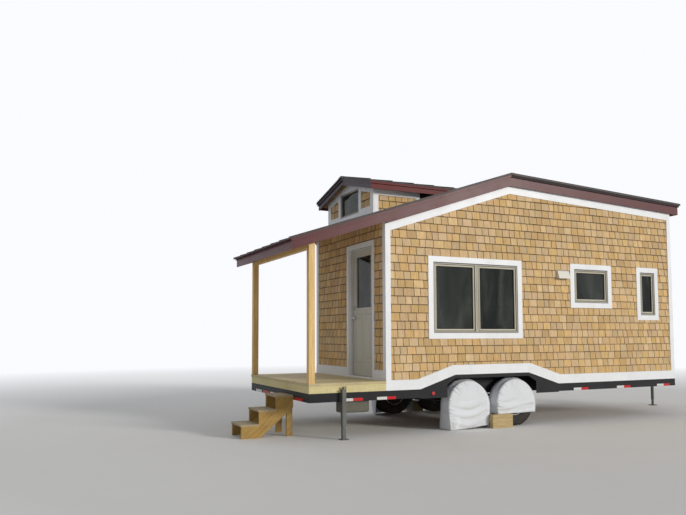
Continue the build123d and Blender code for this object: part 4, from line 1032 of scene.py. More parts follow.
@dataclass
class Roofing:
    """The standing seams of the metal roof."""

    height: float = 0.02
    width: float = 0.009
    lip: float = 0.004
    bays: int = 7
    cap_half: float = 0.09
    rear_end: float = -1.545
    front_end: float = 6.329
    side: float = 0.065
    dormer_edge: float = 1.033
    dormer_seams: tuple = (-0.102, 0.28, 0.66, 1.04, 1.42, 1.80)

    def seam(self, shape: Shape, start: Point, end: Point, across: Point) -> None:
        """Adds one upright seam and the fold on its top.

        Args:
            shape: The seams' mesh.
            start: Its one end on the roof.
            end: Its other end.
            across: The way across it.
        """
        way = Vector(across)
        for half, low, high in ((self.width / 2, 0.0, self.height),
                                (self.width / 2 + self.lip, self.height - self.lip, self.height + 0.0015)):
            ring = [Vector((x, y, z + rise)) - way * half
                    for (x, y, z), rise in ((start, low), (end, low), (end, high), (start, high))]
            shape.prism(ring, way * 2 * half)

    def build(self) -> None:
        """Adds every seam."""
        s, shape = SIZES, Shape()
        near, far, middle = -self.side + 0.012, s.width + self.side - 0.012, s.width / 2
        for i in range(self.bays + 1):
            y = near + (far - near) * i / self.bays
            rear = s.ridge_x - self.cap_half - 0.002 if abs(y - middle) > 1.075 else 0.03
            for x0, x1 in ((s.ridge_x + self.cap_half + 0.002, self.front_end - 0.002), (self.rear_end + 0.002, rear)):
                self.seam(shape, (x0, y, s.roof(x0)), (x1, y, s.roof(x1)), (0, 1, 0))
        for x in self.dormer_seams:
            end = min(self.dormer_edge, (s.ridge_x - x) / 0.75 - 0.02)
            if end >= self.cap_half + 0.05:
                for way in (-1, 1):
                    y0, y1 = middle + way * (self.cap_half + 0.002), middle + way * end
                    self.seam(shape, (x, y0, s.dormer(y0)), (x, y1, s.dormer(y1)), (1, 0, 0))
        shape.build("roof_seams", Finishes.roofing)


@dataclass
class Glaziers:
    """The beads, seals, painted shade lines and catches of the windows."""

    border: float = 0.06
    mullion: float = 0.13
    sash_back: float = 0.018

    def ring(self, shape: Shape, box: Box, grow: float, y: float, rise: float, width: float) -> None:
        """Adds a mitred frame of one bead in a long wall.

        Args:
            shape: The mesh.
            box: The pane's sides, foot and head.
            grow: How far the frame reaches past it.
            y: The plane it stands on.
            rise: How far it stands out along y.
            width: The bead's width.
        """
        outer, inner = rectangle(*box, grow), rectangle(*box, grow - width)
        steps = ((outer, 0.0), (outer, rise), (inner, rise * 0.35), (inner, 0.0))
        shape.stack([[(x, y + lift, z) for x, z in corners] for corners, lift in steps], rise > 0, (False, False))

    def build(self) -> None:
        """Adds the beads, seals, painted shade lines, meeting rails and catches of both long walls."""
        beads, seals_and_shade_lines, catches = Shape(), Shape(), Shape()
        # Each frame's growth past the pane, depth behind the sash's face, rise and width
        rings = ((seals_and_shade_lines, 0.0, 0.016, 0.010, 0.006), (beads, 0.012, 0.0, 0.005, 0.013),
                 (seals_and_shade_lines, 0.03, 0.0, 0.0012, 0.0075))
        # Each strip's two edges from the middle of the post between two sashes, and its rise
        # The dark strips on the post are painted shade in the grooves between the meeting stiles.
        post = ((-0.030, -0.012, beads, 0.004), (-0.012, -0.003, seals_and_shade_lines, 0.0008), (0.026, 0.031, seals_and_shade_lines, 0.0008))
        for out, plane in ((-1, 0.0), (1, SIZES.width)):
            for x, z, width, height, panes in SIZES.windows:
                face, middle = plane - out * self.sash_back, x + width / 2
                gap = self.mullion if panes == 2 else 0.0
                pane = (width - 2 * self.border - (panes - 1) * gap) / panes
                for i in range(panes):
                    x0 = x + self.border + i * (pane + gap)
                    box = (x0, x0 + pane, z + self.border, z + height - self.border)
                    for shape, grow, back, rise, bead in rings:
                        self.ring(shape, box, grow, face - out * back, out * rise, bead)
                # Painted shade: dark strips round each frame's edge, widest under the head casing, stand for the shadow
                # there and the line where casing meets frame.
                left, right, foot, head = x + 0.0005, x + width - 0.0005, z + 0.005, z + height - 0.011
                for x0, x1, z0, z1 in ((left, right, head, z + height - 0.0005), (left, right, z + 0.0005, foot),
                                       (left, left + 0.006, foot, head), (right - 0.006, right, foot, head)):
                    seals_and_shade_lines.block((x0, plane - out * 0.0062, z0), (x1, plane - out * 0.0052, z1))
                if panes == 2:
                    for x0, x1, shape, rise in post:
                        shape.block((middle + x0, plane - out * 0.006, z + 0.03),
                                    (middle + x1, plane - out * (0.006 - rise), z + height - 0.03))
                catches.block((middle - 0.03, face, z + 0.036), (middle + 0.03, face + out * 0.009, z + 0.048))
        beads.build("window_beads", Finishes.sash, bevel=0.0015)
        seals_and_shade_lines.build("window_seals_and_shade_lines", Finishes.seal_and_shade)
        catches.build("window_catches", Finishes.steel, bevel=0.002)


@dataclass
class DoorDress:
    """The mouldings, deadbolt, seal with the painted shade of its gap, and threshold of the entry door."""

    near: float = 0.444
    far: float = 1.247
    faces: tuple = ((0.078, -1.0), (0.122, 1.0))
    panel_foot: float = 1.04
    panel_head: float = 1.80
    lock_z: float = 1.90
    stile: float = 0.12
    half_rail: float = 0.04
    backset: float = 0.07
    moulding: tuple = ((0.0, 0.0), (0.006, 0.007), (0.016, 0.007), (0.026, 0.0015), (0.05, 0.0015), (0.075, 0.006))
    lock: tuple = ((0.029, 0.0), (0.029, 0.006), (0.024, 0.012), (0.012, 0.013), (0.0, 0.013))

    def build(self) -> None:
        """Dresses the leaf on both faces, and its frame."""
        panels, lock, seal_and_shade, sill = Shape(), Shape(), Shape(), Shape()
        middle = (self.near + self.far) / 2
        for x, out in self.faces:
            for y0, y1 in ((self.near + self.stile, middle - self.half_rail),
                           (middle + self.half_rail, self.far - self.stile)):
                box = (y0, y1, self.panel_foot, self.panel_head)
                rings = [[(x + out * rise, y, z) for y, z in rectangle(*box, -inset)] for inset, rise in self.moulding]
                panels.stack(rings, out < 0, (False, True))
            lock.turned((x, self.far - self.backset, self.lock_z), (out, 0, 0), self.lock)
        # The jamb and head seals are a real weatherstrip, widened as painted shade of the gap round the leaf.
        for y0, y1, z0, z1 in ((0.4365, 0.4435, 0.83, 2.85), (1.2475, 1.2545, 0.83, 2.85),
                               (0.4435, 1.2475, 2.8505, 2.8565)):
            seal_and_shade.block((0.060, y0, z0), (0.074, y1, z1))
        for i in range(5):
            sill.block((0.004 + i * 0.012, 0.442, 0.815), (0.010 + i * 0.012, 1.249, 0.8168))
        panels.build("door_panels", Finishes.door, "door")
        lock.build("door_lock", Finishes.steel, "door")
        seal_and_shade.build("door_seal_and_gap_shade", Finishes.seal_and_shade)
        sill.build("threshold_ribs", Finishes.steel, bevel=0.0005)


@dataclass
class Screws:
    """The screw heads of the deck and the steps."""

    radius: float = 0.0045
    nosing: float = 0.008
    board: float = 0.14
    boards: int = 18
    step_nose: float = -1.999
    step_run: float = 0.26
    joists_x: tuple = (-1.2, -0.61, -0.02)
    stringers_y: Flat = (0.624, 1.066)
    on_board: Flat = (0.03, 0.11)
    on_step: Flat = (0.05, 0.2)

    def build(self) -> None:
        """Adds the rows of flat heads with a dished drive."""
        pitch = (SIZES.width + 2 * self.nosing - self.boards * self.board) / (self.boards - 1) + self.board
        places = [(x, i * pitch + off - self.nosing, SIZES.floor_z)
                  for i in range(self.boards) for x in self.joists_x for off in self.on_board]
        places += [(self.step_nose + i * self.step_run + off, y, (i + 1) * SIZES.floor_z / 4)
                   for i in range(3) for off in self.on_step for y in self.stringers_y]
        shape, r = Shape(), self.radius
        for place in places:
            shape.turned(place, UP, [(r, -0.0004), (r, 0.0006), (r * 0.45, 0.0004), (0.0, -0.0006)], 10)
        shape.build("deck_screws", Finishes.steel)


@dataclass
class VentDress:
    """The turned lip and the shutter of the vent hood."""

    low: Flat = (3.306, 2.409)
    width: float = 0.248
    front: float = -0.060
    lip: float = 0.007

    def build(self) -> None:
        """Adds the lip round the hood's open lower edge, and the shutter in it."""
        (x0, z0), x1, front = self.low, self.low[0] + self.width, self.front
        edge, shutter = Shape(), Shape()
        edge.block((x0 - 0.002, front - 0.002, z0 - 0.001), (x1 + 0.002, front + 0.002, z0 + self.lip))
        for x in (x0, x1):
            edge.block((x - 0.002, front, z0 - 0.001), (x + 0.002, 0.016, z0 + self.lip))
        # The shutter's slats take the near-black seal finish: painted shade inside the hood's opening.
        for i in range(3):
            y = front + 0.012 + i * 0.021
            slat = ((0.0, 0.016), (0.019, 0.010), (0.019, 0.012), (0.0, 0.018))
            shutter.prism([(x0 + 0.006, y + dy, z0 + dz) for dy, dz in slat], (self.width - 0.012, 0, 0))
        edge.build("vent_lip", Finishes.vent, bevel=0.0008)
        shutter.build("vent_shutter", Finishes.seal_and_shade)


@dataclass
class TrailerDress:
    """The reflective tape, bolts and rivets of the trailer."""

    tape_low: float = 0.5245
    tape_high: float = 0.566
    white: tuple = ((-0.714, -0.541), (-0.153, 0.012), (3.62, 3.79), (4.62, 4.79), (5.62, 5.79))
    red: tuple = ((-0.541, -0.381), (0.012, 0.163), (3.79, 3.95), (4.79, 4.95), (5.79, 5.95))
    spring_y: float = 0.316
    fender: tuple = ((0.59, 0.655), (1.219, 0.845), (2.659, 0.845), (3.288, 0.655))
    rivet_pitch: float = 0.06
    rivet_inset: float = 0.022

    def tape(self) -> None:
        """Adds the tape on both side rails and the rear beam."""
        white, red = Shape(), Shape()
        for shape, runs in ((white, self.white), (red, self.red)):
            for x0, x1 in runs:
                for y in (-0.0006, SIZES.width):
                    shape.block((x0, y, self.tape_low), (x1, y + 0.0006, self.tape_high))
        for i in range(6):
            y = 0.24 + i * 0.36
            (white if i % 2 else red).block((-1.2196, y, self.tape_low), (-1.219, y + 0.3, self.tape_high))
        white.build("white_tape", Finishes.tape_white)
        red.build("red_tape", Finishes.tape_red)

    def bolts(self) -> None:
        """Adds bolt heads on the jack plates, and the springs' plates with their bolts."""
        shape = Shape()
        for y, out in ((-0.0155, -1), (SIZES.width + 0.0155, 1)):
            for x in (-0.748, -0.676):
                for z in (0.548, 0.625):
                    shape.turned((x, y, z), (0, out, 0), [(0.009, 0.0), (0.009, 0.006), (0.0, 0.006)], 6)
        for x in SIZES.axles_x:
            for y in (self.spring_y, SIZES.width - self.spring_y):
                for dx, dy in rectangle(-0.045, 0.045, -0.034, 0.034):
                    shape.turned((x + dx, y + dy, 0.31), UP, [(0.006, 0.0), (0.006, 0.175), (0.0, 0.175)], 10)
                shape.block((x - 0.062, y - 0.045, 0.322), (x + 0.062, y + 0.045, 0.330))
        shape.build("trailer_bolts", Finishes.zinc)

    def rivets(self) -> None:
        """Adds the rivets along both fenders, below their upper edge."""
        shape = Shape()
        head = [(0.0055, -0.001), (0.005, 0.0012), (0.0026, 0.0028), (0.0, 0.0032)]
        for y, out in ((0.0, -1), (SIZES.width, 1)):
            for (x0, z0), (x1, z1) in zip(self.fender, self.fender[1:]):
                way = Vector((x1 - x0, 0, z1 - z0))
                down = Vector((way.z, 0, -way.x)).normalized()
                start = Vector((x0, y, z0)) + down * self.rivet_inset
                count = max(2, round(way.length / self.rivet_pitch))
                for i in range(count + 1):
                    shape.turned(start + way * (i / count), (0, out, 0), head, 8)
        shape.build("fender_rivets", Finishes.chassis, smooth=True)

    def build(self) -> None:
        """Adds every part of the dress."""
        self.tape()
        self.bolts()
        self.rivets()


@dataclass
class Tyres:
    """The four tyres with their tread, over the plain ones."""

    rim: float = 0.203
    half: float = 0.1175
    near_y: float = 0.028
    lugs: int = 56
    sides: int = 84

    def profile(self) -> list[Flat]:
        """Gives the section from one bead to the other as radius and distance."""
        wall = ((self.rim, 0.03), (self.rim + 0.012, 0.022), (0.26, 0.004), (0.30, 0.0), (0.335, 0.003), (0.356, 0.012),
                (0.3665, 0.028), (0.3695, 0.034))
        one = [(r, self.half - inset) for r, inset in wall]
        one += [(0.3735, 0.062), (0.366, 0.060), (0.366, 0.052), (0.3745, 0.050), (0.3755, 0.022), (0.368, 0.020),
                (0.368, 0.012), (0.376, 0.010)]
        return one + [(r, -a) for r, a in reversed(one)]

    def build(self) -> None:
        """Adds the tyres, flattened where they stand."""
        shape = Shape()
        for x in SIZES.axles_x:
            for y in (self.near_y + self.half, SIZES.width - self.near_y - self.half):
                start = len(shape.points)
                shape.turned((x, y, SIZES.axle_z), (0, 1, 0), self.profile(), self.sides)
                for point in shape.points[start:]:
                    point.z = max(point.z, 0.0)
                self.blocks(shape, x, y)
        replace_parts(shape.build("tyre_treads", Finishes.tyre), "tyres")

    def blocks(self, shape: Shape, x: float, y: float) -> None:
        """Adds the shoulder lugs of one tyre, except where it stands.

        Args:
            shape: The tyres' mesh.
            x: The wheel's place along the house.
            y: The tyre's middle.
        """
        step = tau / self.lugs * 0.34
        for i in range(self.lugs):
            turn = tau * (i + 0.5) / self.lugs
            for side in (-1, 1):
                rings = [[(x + r * cos(a), y + side * w, SIZES.axle_z + r * sin(a))
                          for r, w in ((0.362, 0.1125), (0.3785, 0.088), (0.3785, 0.066), (0.362, 0.066))]
                         for a in (turn - step, turn + step)]
                if min(p[2] for ring in rings for p in ring) >= 0.001:
                    shape.stack(rings, side < 0)


@dataclass
class WheelCover:
    """One fabric cover, hung over a tyre: a band round the tread, sewn to a slack face with a gathered seam."""

    name: str
    centre_x: float
    hem: float
    seed: int
    rise: float = 0.0
    radius: float = 0.381
    centre_z: float = SIZES.axle_z
    face_y: float = 0.014
    depth: float = 0.226
    flare: float = 0.020
    bulge: float = 0.028
    gather: float = 0.047
    fold: float = 0.014
    round_over: float = 0.016
    reach: float = 0.0145
    sides: Flat = (-0.402, 0.414)
    thickness: float = 0.0016
    least_width: float = 0.62
    across: int = 240
    rings: int = 46
    band: int = 10
    frames: int = 24
    smoothed: int = 7
    tyre: tuple = ((0.18, 0.0), (0.33, 0.0), (0.362, 0.012), (0.376, 0.035), (0.378, 0.12), (0.374, 0.2), (0.35, 0.23))

    @cached_property
    def phase(self) -> float:
        """Gives the cover's own shift of its patterns."""
        return random.Random(self.seed).uniform(0.0, tau)

    @cached_property
    def length(self) -> float:
        """Gives the length of the cover's outline."""
        return 2 * (self.centre_z - self.hem) + pi * self.radius

    def outline(self, share: float, back: float = 0.0) -> Flat:
        """Gives a point of the cover's outline from its left foot over the top to its right foot.

        Args:
            share: The place along the outline, from 0 to 1.
            back: The place across the band, from 0 at the face to 1 at the rear.

        Returns:
            The place from the wheel's middle, and the height.
        """
        side, arc, run = self.centre_z - self.hem, pi * self.radius, share * self.length
        if run < side:
            x, z = -self.radius, self.hem + run
        elif run > side + arc:
            x, z = self.radius, self.centre_z - (run - side - arc)
        else:
            turn = pi - (run - side) / self.radius
            x, z = self.radius * cos(turn), self.centre_z + self.radius * sin(turn)
        if x < 0:
            low = limit((0.34 - z) / 0.34)
            return x + self.flare * (1.7 - 2.7 * back) * low * low * (3 - 2 * low), z
        return x + self.bulge * sin(pi * limit((0.66 - z) / 0.62)) * x / self.radius, z

    def beside(self, x: float, z: float) -> Flat:
        """Finds the seam's nearest point.

        Args:
            x: The place from the wheel's middle.
            z: The place above the ground.

        Returns:
            The length along the seam, and the distance from it.
        """
        if z < self.centre_z:
            run = z - self.hem
            return (run if x < 0 else self.length - run), self.radius - abs(x)
        turn = pi - atan2(z - self.centre_z, x)
        return self.centre_z - self.hem + turn * self.radius, self.radius - hypot(x, z - self.centre_z)

    def pucker(self, x: float, run: float, away: float) -> float:
        """Gives how far the gathers lift the cloth beside the seam.

        Args:
            x: The place from the wheel's middle.
            run: The place along the seam.
            away: The distance from the seam.

        Returns:
            The lift in metres.
        """
        away, phase = max(0.0, away), self.phase
        bent = run + 0.010 * sin(away * 21.0 + run * 9.0 + phase)
        turns = bent / self.gather + 0.42 * sin(run * 11.3 + phase) + 0.2 * sin(run * 37.0 + 3.0 * phase)
        strength = 0.58 + 0.24 * sin(run * 6.1 + 2.0 * phase) + 0.32 * sin(turns * 2.1 + phase)
        side = 0.16 + 0.84 * limit(0.5 - x / self.radius)
        fade = exp(-((away / (0.085 + 0.05 * sin(turns * 1.3 + phase))) ** 1.4)) * min(1.0, 0.35 + away / 0.02)
        return self.fold * sin(tau * turns) * strength * side * fade

    def sag(self, x: float, z: float) -> float:
        """Gives how far the slack cloth of the face stands out at a place.

        Args:
            x: The place from the wheel's middle.
            z: The place above the ground.

        Returns:
            The lift in metres.
        """
        across, phase = x / self.radius, self.phase
        low = limit((self.centre_z + 0.10 - z) / 0.18)
        line = z + 0.045 * (1 - across * across) - 0.03 * across + 0.012 * sin(3.3 * across + phase)
        broad = sin(tau * line / 0.15 + phase)
        fine = sin(tau * line / 0.068 + 1.9 * sin(2.2 * across + phase))
        corner = exp(-((across + 0.86) / 0.10) ** 2) * limit((0.20 - z) / 0.10)
        ridge = exp(-((across + 0.66 - 0.5 * z) / 0.09) ** 2) * limit((0.24 - z) / 0.12)
        folds = (0.0095 * broad + 0.0055 * fine) * low * (0.7 + 0.3 * sin(4.0 * across + phase))
        return folds + 0.008 * ridge - 0.010 * corner

    def grid(self) -> tuple[list[Vector], list[tuple[int, ...]]]:
        """Lays out the band and the face as one mesh, whose first row is the band's rear edge.

        Returns:
            The points and the faces.
        """
        points, count = [], self.across + 1
        left, right = self.outline(0.0)[0], self.outline(1.0)[0]
        for j in range(self.band + self.rings + 1):
            down = (max(0, j - self.band) / self.rings) ** 1.25
            back = max(0.0, 1 - j / self.band) ** 1.5
            for k in range(count):
                share = k / self.across
                x, z = self.outline(share, back)
                foot, low = left + (right - left) * share, self.hem + self.rise * share * share
                place = Vector((x + (foot - x) * down, self.face_y + self.depth * back, z + (low - z) * down))
                points.append(place + Vector((self.centre_x, 0.0, 0.0)))
        faces = [(a + k, a + k + 1, a + count + k + 1, a + count + k)
                 for a in range(0, len(points) - count, count) for k in range(self.across)]
        return points, faces

    def crease(self, cloth: bpy.types.Object, start: Sequence[Vector]) -> None:
        """Presses the gathers and the slack into the settled cloth, and keeps it within its solid's place.

        Args:
            cloth: The cover.
            start: Where its points were laid out.
        """
        count = self.across + 1
        drift = [v.co - HOUSE - p for v, p in zip(cloth.data.vertices, start)]
        tones = [0.0] * len(start)
        for number, vertex in enumerate(cloth.data.vertices):
            j, k = divmod(number, count)
            near = drift[j * count + max(0, k - self.smoothed):j * count + min(count, k + self.smoothed + 1)]
            place = start[number] + sum(near, Vector()) / len(near)
            x, z = start[number].x - self.centre_x, start[number].z
            run, away = self.beside(x, z)
            inside = max(0.0, away)
            out = Vector((x, 0.0, max(0.0, z - self.centre_z))).normalized()
            if j < self.band:
                back = self.depth * (1 - j / self.band) ** 1.5
                place += out * (0.3 * self.pucker(x, run, back) - 0.55 * self.round_over * exp(-back / 0.025))
            else:
                place -= out * 0.55 * self.round_over * exp(-inside / 0.010)
                lift = self.pucker(x, run, away) + self.sag(x, z) * min(1.0, inside / 0.05)
                # Painted shade: the tone marks the folds' hollows, which the fabric darkens.
                tones[number] = limit(lift / 0.009, -1.0)
                stand = tanh((place.y - self.face_y - lift) / self.reach)
                place.y = self.face_y - 0.001 + self.reach * stand
                place.y += self.round_over * exp(-inside / 0.012)
            place.z = max(0.002, place.z)
            place.x = limit(place.x, *(self.centre_x + side for side in self.sides))
            vertex.co = place + HOUSE
        cloth.data.attributes.new("tone", "FLOAT", "POINT").data.foreach_set("value", tones)

    def settle(self, cloth: bpy.types.Object) -> None:
        """Lets the cloth hang on its tyre, and keeps the result.

        Args:
            cloth: The cover.
        """
        shape, scene = Shape(), bpy.context.scene
        shape.turned((self.centre_x, 0.030, self.centre_z), (0, 1, 0), self.tyre, 72)
        tyre = placed("settling_tyre", new_mesh("settling_tyre", shape.points, shape.faces))
        tyre.modifiers.new("Collision", "COLLISION")
        put(tyre.collision, thickness_outer=0.002, cloth_friction=20.0)
        modifier = cloth.modifiers.new("Cloth", "CLOTH")
        put(modifier.settings, quality=4, mass=0.12, tension_stiffness=20.0, compression_stiffness=20.0,
            shear_stiffness=8.0, bending_stiffness=1.2, tension_damping=6.0, compression_damping=6.0, air_damping=2.0,
            vertex_group_mass="pinned", pin_stiffness=1.0)
        put(modifier.collision_settings, distance_min=0.003, collision_quality=2)
        put(modifier.point_cache, frame_start=1, frame_end=self.frames)
        for step in range(1, self.frames + 1):
            scene.frame_set(step)
        settled = bpy.data.meshes.new_from_object(cloth.evaluated_get(bpy.context.evaluated_depsgraph_get()))
        cloth.modifiers.clear()
        cloth.data = settled
        scene.frame_set(1)
        bpy.data.objects.remove(tyre)

    def finish(self, cloth: bpy.types.Object, flat: float) -> None:
        """Gives a settled cover its fabric and thickness, puts it on the house in place of the CAD covers, and logs its
        faces and cloth area.

        Args:
            cloth: The cover.
            flat: The area of its cloth.
        """
        cloth.data.materials.clear()
        cloth.data.materials.append(Finishes.cover.make())
        cloth.data.shade_smooth()
        put(cloth.modifiers.new("Cloth thickness", "SOLIDIFY"), thickness=self.thickness, offset=0.0)
        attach(cloth, "house")
        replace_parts(cloth, "wheel_covers")
        LOG.info("%s: %d faces, %.2f square metres of cloth", cloth.name, len(cloth.data.polygons), flat)

    def build(self) -> None:
        """Makes the near cover, and the far one as its mirror image."""
        points, faces = self.grid()
        flat = sum((points[f[1]] - points[f[0]]).cross(points[f[3]] - points[f[0]]).length for f in faces)
        cloth = placed(self.name, new_mesh(self.name, points, faces))
        cloth.vertex_groups.new(name="pinned").add(list(range(self.across + 1)), 1.0, "REPLACE")
        self.settle(cloth)
        self.crease(cloth, points)
        far = placed(self.name.replace("near", "far"), cloth.data.copy())
        for vertex in far.data.vertices:
            place = vertex.co - HOUSE
            vertex.co = Vector((place.x, SIZES.width - place.y, place.z)) + HOUSE
        far.data.flip_normals()
        self.finish(cloth, flat)
        self.finish(far, flat)


# ---- CAD nodes ----


@dataclass
class Dresser:
    """Gives every CAD node its finish, and eased edges where it has them."""

    finishes: tuple = (
        (Finishes.floor, 0.0, "floor"), (Finishes.pine, 0.0, "long_walls porch_walls tow_wall dormer_walls"),
        (Finishes.panel, 0.0, "roof_panels dormer_roof"), (Finishes.roofing, 0.002, "roof_covering"),
        (Finishes.roofing, 0.003, "ridge_caps"),
        (Finishes.trim, 0.002, "dormer_trim frieze_boards skirt_boards door_frame"),
        (Finishes.trim, 0.003, "corner_boards"), (Finishes.trim, 0.0025, "casings"),
        (Finishes.fascia, 0.002, "dormer_fascia"), (Finishes.fascia, 0.003, "fascia_boards"),
        (Finishes.window, 0.002, "window_frames"), (Finishes.glass, 0.0, "window_glass door_glass"),
        (Finishes.steel, 0.0, "door_hinges leaf_hinges"), (Finishes.steel, 0.001, "door_handle"),
        (Finishes.door, 0.002, "door_leaf"), (Finishes.vent, 0.002, "vent_hood"), (Finishes.deck, 0.004, "deck_boards"),
        (Finishes.rim, 0.002, "deck_frame"), (Finishes.post, 0.004, "porch_frame"),
        (Finishes.stringer, 0.002, "step_stringers"), (Finishes.tread, 0.004, "step_treads"),
        (Finishes.chassis, 0.003, "trailer_rails crossmembers coupler axles"),
        (Finishes.chassis, 0.004, "tongue_beams"), (Finishes.chassis, 0.001, "fenders"),
        (Finishes.zinc, 0.002, "tongue_jack near_jack_leg far_jack_leg"),
        (Finishes.zinc, 0.003, "jack_housings"), (Finishes.spring, 0.001, "leaf_springs"),
        (Finishes.wheel, 0.002, "wheel_rims"), (Finishes.block, 0.004, "wheel_blocks"),
        (Finishes.lens, 0.001, "marker_lights"), (Finishes.tank, 0.004, "water_tank"), (Finishes.tyre, 0.0, "tyres"),
        (Finishes.cover, 0.0, "wheel_covers"))

    def second(self, name: str, finish: Finish, chosen: Callable[[Vector, Vector], bool]) -> None:
        """Gives some faces of a node another finish.

        Args:
            name: The node.
            finish: The other finish.
            chosen: Tells from a face's middle and its normal whether it takes the other finish.
        """
        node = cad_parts[name]
        number = len(node.data.materials)
        node.data.materials.append(finish.make())
        for polygon in node.data.polygons:
            if chosen(node.matrix_world @ polygon.center - HOUSE, polygon.normal):
                polygon.material_index = number

    def build(self) -> None:
        """Dresses every node, then the outer faces of walls in painted shade, the roof's edge strip, the dormer's
        boards in painted sunlight and shade, and the sashes.
        """
        s = SIZES
        table = {name: (finish, bevel) for finish, bevel, names in self.finishes for name in names.split()}
        for name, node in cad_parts.items():
            finish, bevel = table[name]
            node.data.materials.clear()
            node.data.materials.append(finish.make())
            for polygon in node.data.polygons:
                polygon.material_index = 0
            if bevel:
                ease(node, bevel)
            LOG.info("%s: %s", name, finish.name)

        def within(y: float, margin: float) -> bool:
            """Tells whether a place across the house lies nearer than a margin to a side or past it."""
            return y < margin or y > s.width - margin

        skin = s.trim + 0.002
        for name, finish, chosen in (
                # The walls' outer faces take the dark sheathing: painted shade seen through the gaps between shingles.
                ("long_walls", Finishes.shaded_sheathing, lambda p, n: within(p.y, skin)),
                ("porch_walls", Finishes.shaded_sheathing, lambda p, n: p.x < skin),
                ("tow_wall", Finishes.shaded_sheathing, lambda p, n: p.x > s.length - skin),
                ("dormer_walls", Finishes.shaded_sheathing, lambda p, n: p.x < 0.062 or within(p.y, s.dormer_near + skin)),
                ("fascia_boards", Finishes.drip, lambda p, n: p.x > s.ridge_x and s.roof(p.x) - p.z < 0.053
                 and (within(p.y, -0.036) or p.x > s.length + 0.21)),
                # Painted light: the dormer fascia's side faces take the sunlit copy of its paint, and its front faces
                # the shaded copy.
                ("dormer_fascia", Finishes.dormer_sunlit_fascia, lambda p, n: abs(n.y) > 0.9 and within(p.y, 0.30)),
                ("dormer_fascia", Finishes.dormer_shaded_fascia, lambda p, n: n.x < -0.9),
                ("window_frames", Finishes.sash, lambda p, n: 0.012 < min(p.y, s.width - p.y) < 0.05)):
            self.second(name, finish, chosen)


# ---- Studio ----


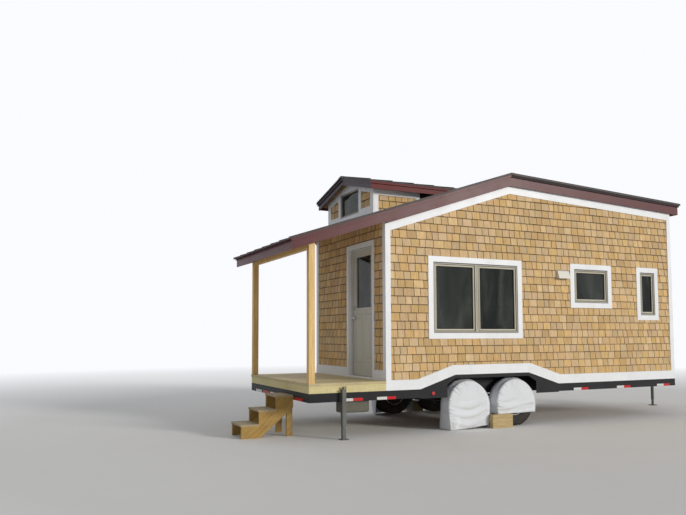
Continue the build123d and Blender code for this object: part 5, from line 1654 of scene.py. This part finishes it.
@dataclass
class Studio:
    """The pale floor, the soft light and the photograph's camera."""

    focal_pixels: float = 670.32
    image: tuple[int, int] = (686, 515)
    axis_row: float = 293.5
    sensor: float = 36.0
    yaw: float = 25.384
    pitch: float = 3.63
    roll: float = -0.169
    eye: Point = (-4.794, -8.640, 1.45)
    surround: float = 0.34
    floor_side: float = 90.0

    def camera(self) -> None:
        """Sets the camera where the photograph was taken."""
        yaw, pitch, roll = (radians(v) for v in (self.yaw, self.pitch, self.roll))
        ahead = Vector((sin(yaw) * cos(pitch), cos(yaw) * cos(pitch), sin(pitch)))
        level = Vector((cos(yaw), -sin(yaw), 0.0))
        above = level.cross(ahead)
        right = level * cos(roll) + above * sin(roll)
        up = above * cos(roll) - level * sin(roll)
        width, height = self.image
        data = bpy.data.cameras.new("Camera")
        put(data, sensor_width=self.sensor, lens=self.focal_pixels / width * self.sensor,
            shift_y=(self.axis_row - height / 2) / width, clip_end=200.0)
        camera = placed("Camera", data)
        turn = Matrix((right, up, -ahead)).transposed().to_4x4()
        camera.matrix_world = Matrix.Translation(HOUSE + Vector(self.eye)) @ turn
        bpy.context.scene.camera = camera

    def light(self, name: str, kind: str, place: Point, way: Vector, **values: object) -> None:
        """Adds one light.

        Args:
            name: Its name.
            kind: Its type.
            place: Where it stands.
            way: Where it points.
            values: Its power, colour and size.
        """
        data = bpy.data.lights.new(name, kind)
        put(data, **values)
        turn = way.to_track_quat("-Z", "Y").to_matrix().to_4x4()
        placed(name, data).matrix_world = Matrix.Translation(Vector(place)) @ turn

    def world(self) -> None:
        """Lights the surroundings softly and shows them pale to the camera, gloss and glass."""
        world = bpy.data.worlds.new("Studio")
        bpy.context.scene.world = world
        world.use_nodes = True
        world.node_tree.nodes.clear()
        tree = Tree(world.node_tree)
        path = tree.add("LightPath").outputs
        seen = tree.math("MAXIMUM", path["Is Camera Ray"], path["Is Transmission Ray"])
        strength = tree.span(tree.math("MAXIMUM", seen, path["Is Glossy Ray"]), 0.0, 1.0, self.surround, 1.0)
        back = tree.add("Background", {"Color": PALE, "Strength": strength})
        tree.add("OutputWorld", {"Surface": back.outputs[0]})

    def floor(self) -> None:
        """Adds the plain pale floor, which fades into the backdrop far from the house."""
        side, data = self.floor_side, bpy.data.meshes.new("studio_floor")
        data.from_pydata([(x, y, -0.0005) for x, y in rectangle(-side, side, -side, side)], [], [(0, 1, 2, 3)])
        floor = placed("studio_floor", data)
        material = bpy.data.materials.new("Studio floor")
        on = Surface(material)
        on.give(Base_Color=on.mix((0.84, 0.84, 0.83), (0.87, 0.87, 0.86), on.noise(on.where, 2.0, 2.0)), Roughness=0.9)
        away = on.add("VectorMath", {0: on.where}, operation="LENGTH").outputs["Value"]
        far = on.times(on.span(away, 8.0, 22.0), on.add("LightPath").outputs["Is Camera Ray"])
        plain = on.add("Emission", {"Color": PALE, "Strength": 1.0})
        both = on.add("MixShader", {0: far, 1: on.result, 2: plain.outputs[0]})
        on.add("OutputMaterial", {"Surface": both.outputs[0]})
        data.materials.append(material)

    def build(self) -> None:
        """Sets the whole studio."""
        bpy.context.scene.view_settings.view_transform = "Standard"
        self.camera()
        self.world()
        self.floor()
        self.light("Sun", "SUN", (0, 0, 0), Vector((-0.56, 0.79, -0.25)), energy=1.9, angle=radians(12.0),
                   color=(1.0, 0.965, 0.9))
        for name, place, target, power, color in (
                ("Fill", (-13.0, -7.0, 6.0), (-1.0, 0.0, 1.6), 30.0, (0.9, 0.95, 1.0)),
                ("Back", (-2.0, 14.0, 9.0), (0.0, 0.0, 2.0), 200.0, (0.95, 0.97, 1.0))):
            self.light(name, "AREA", place, Vector(target) - Vector(place), size=6.0, energy=power, color=color)


def main() -> None:
    """Builds the studio and every piece, in order."""
    logging.basicConfig(level=logging.INFO, format="%(message)s")
    covers = (WheelCover("rear_near_wheel_cover", SIZES.axles_x[0], 0.006, 3, rise=0.05),
              WheelCover("front_near_wheel_cover", SIZES.axles_x[1], 0.207, 5))
    for part in (Studio(), Dresser(), Cladding(), Roofing(), Glaziers(), DoorDress(), Screws(), VentDress(),
                 TrailerDress(), Tyres(), *covers):
        part.build()


if __name__ == "__main__":
    main()
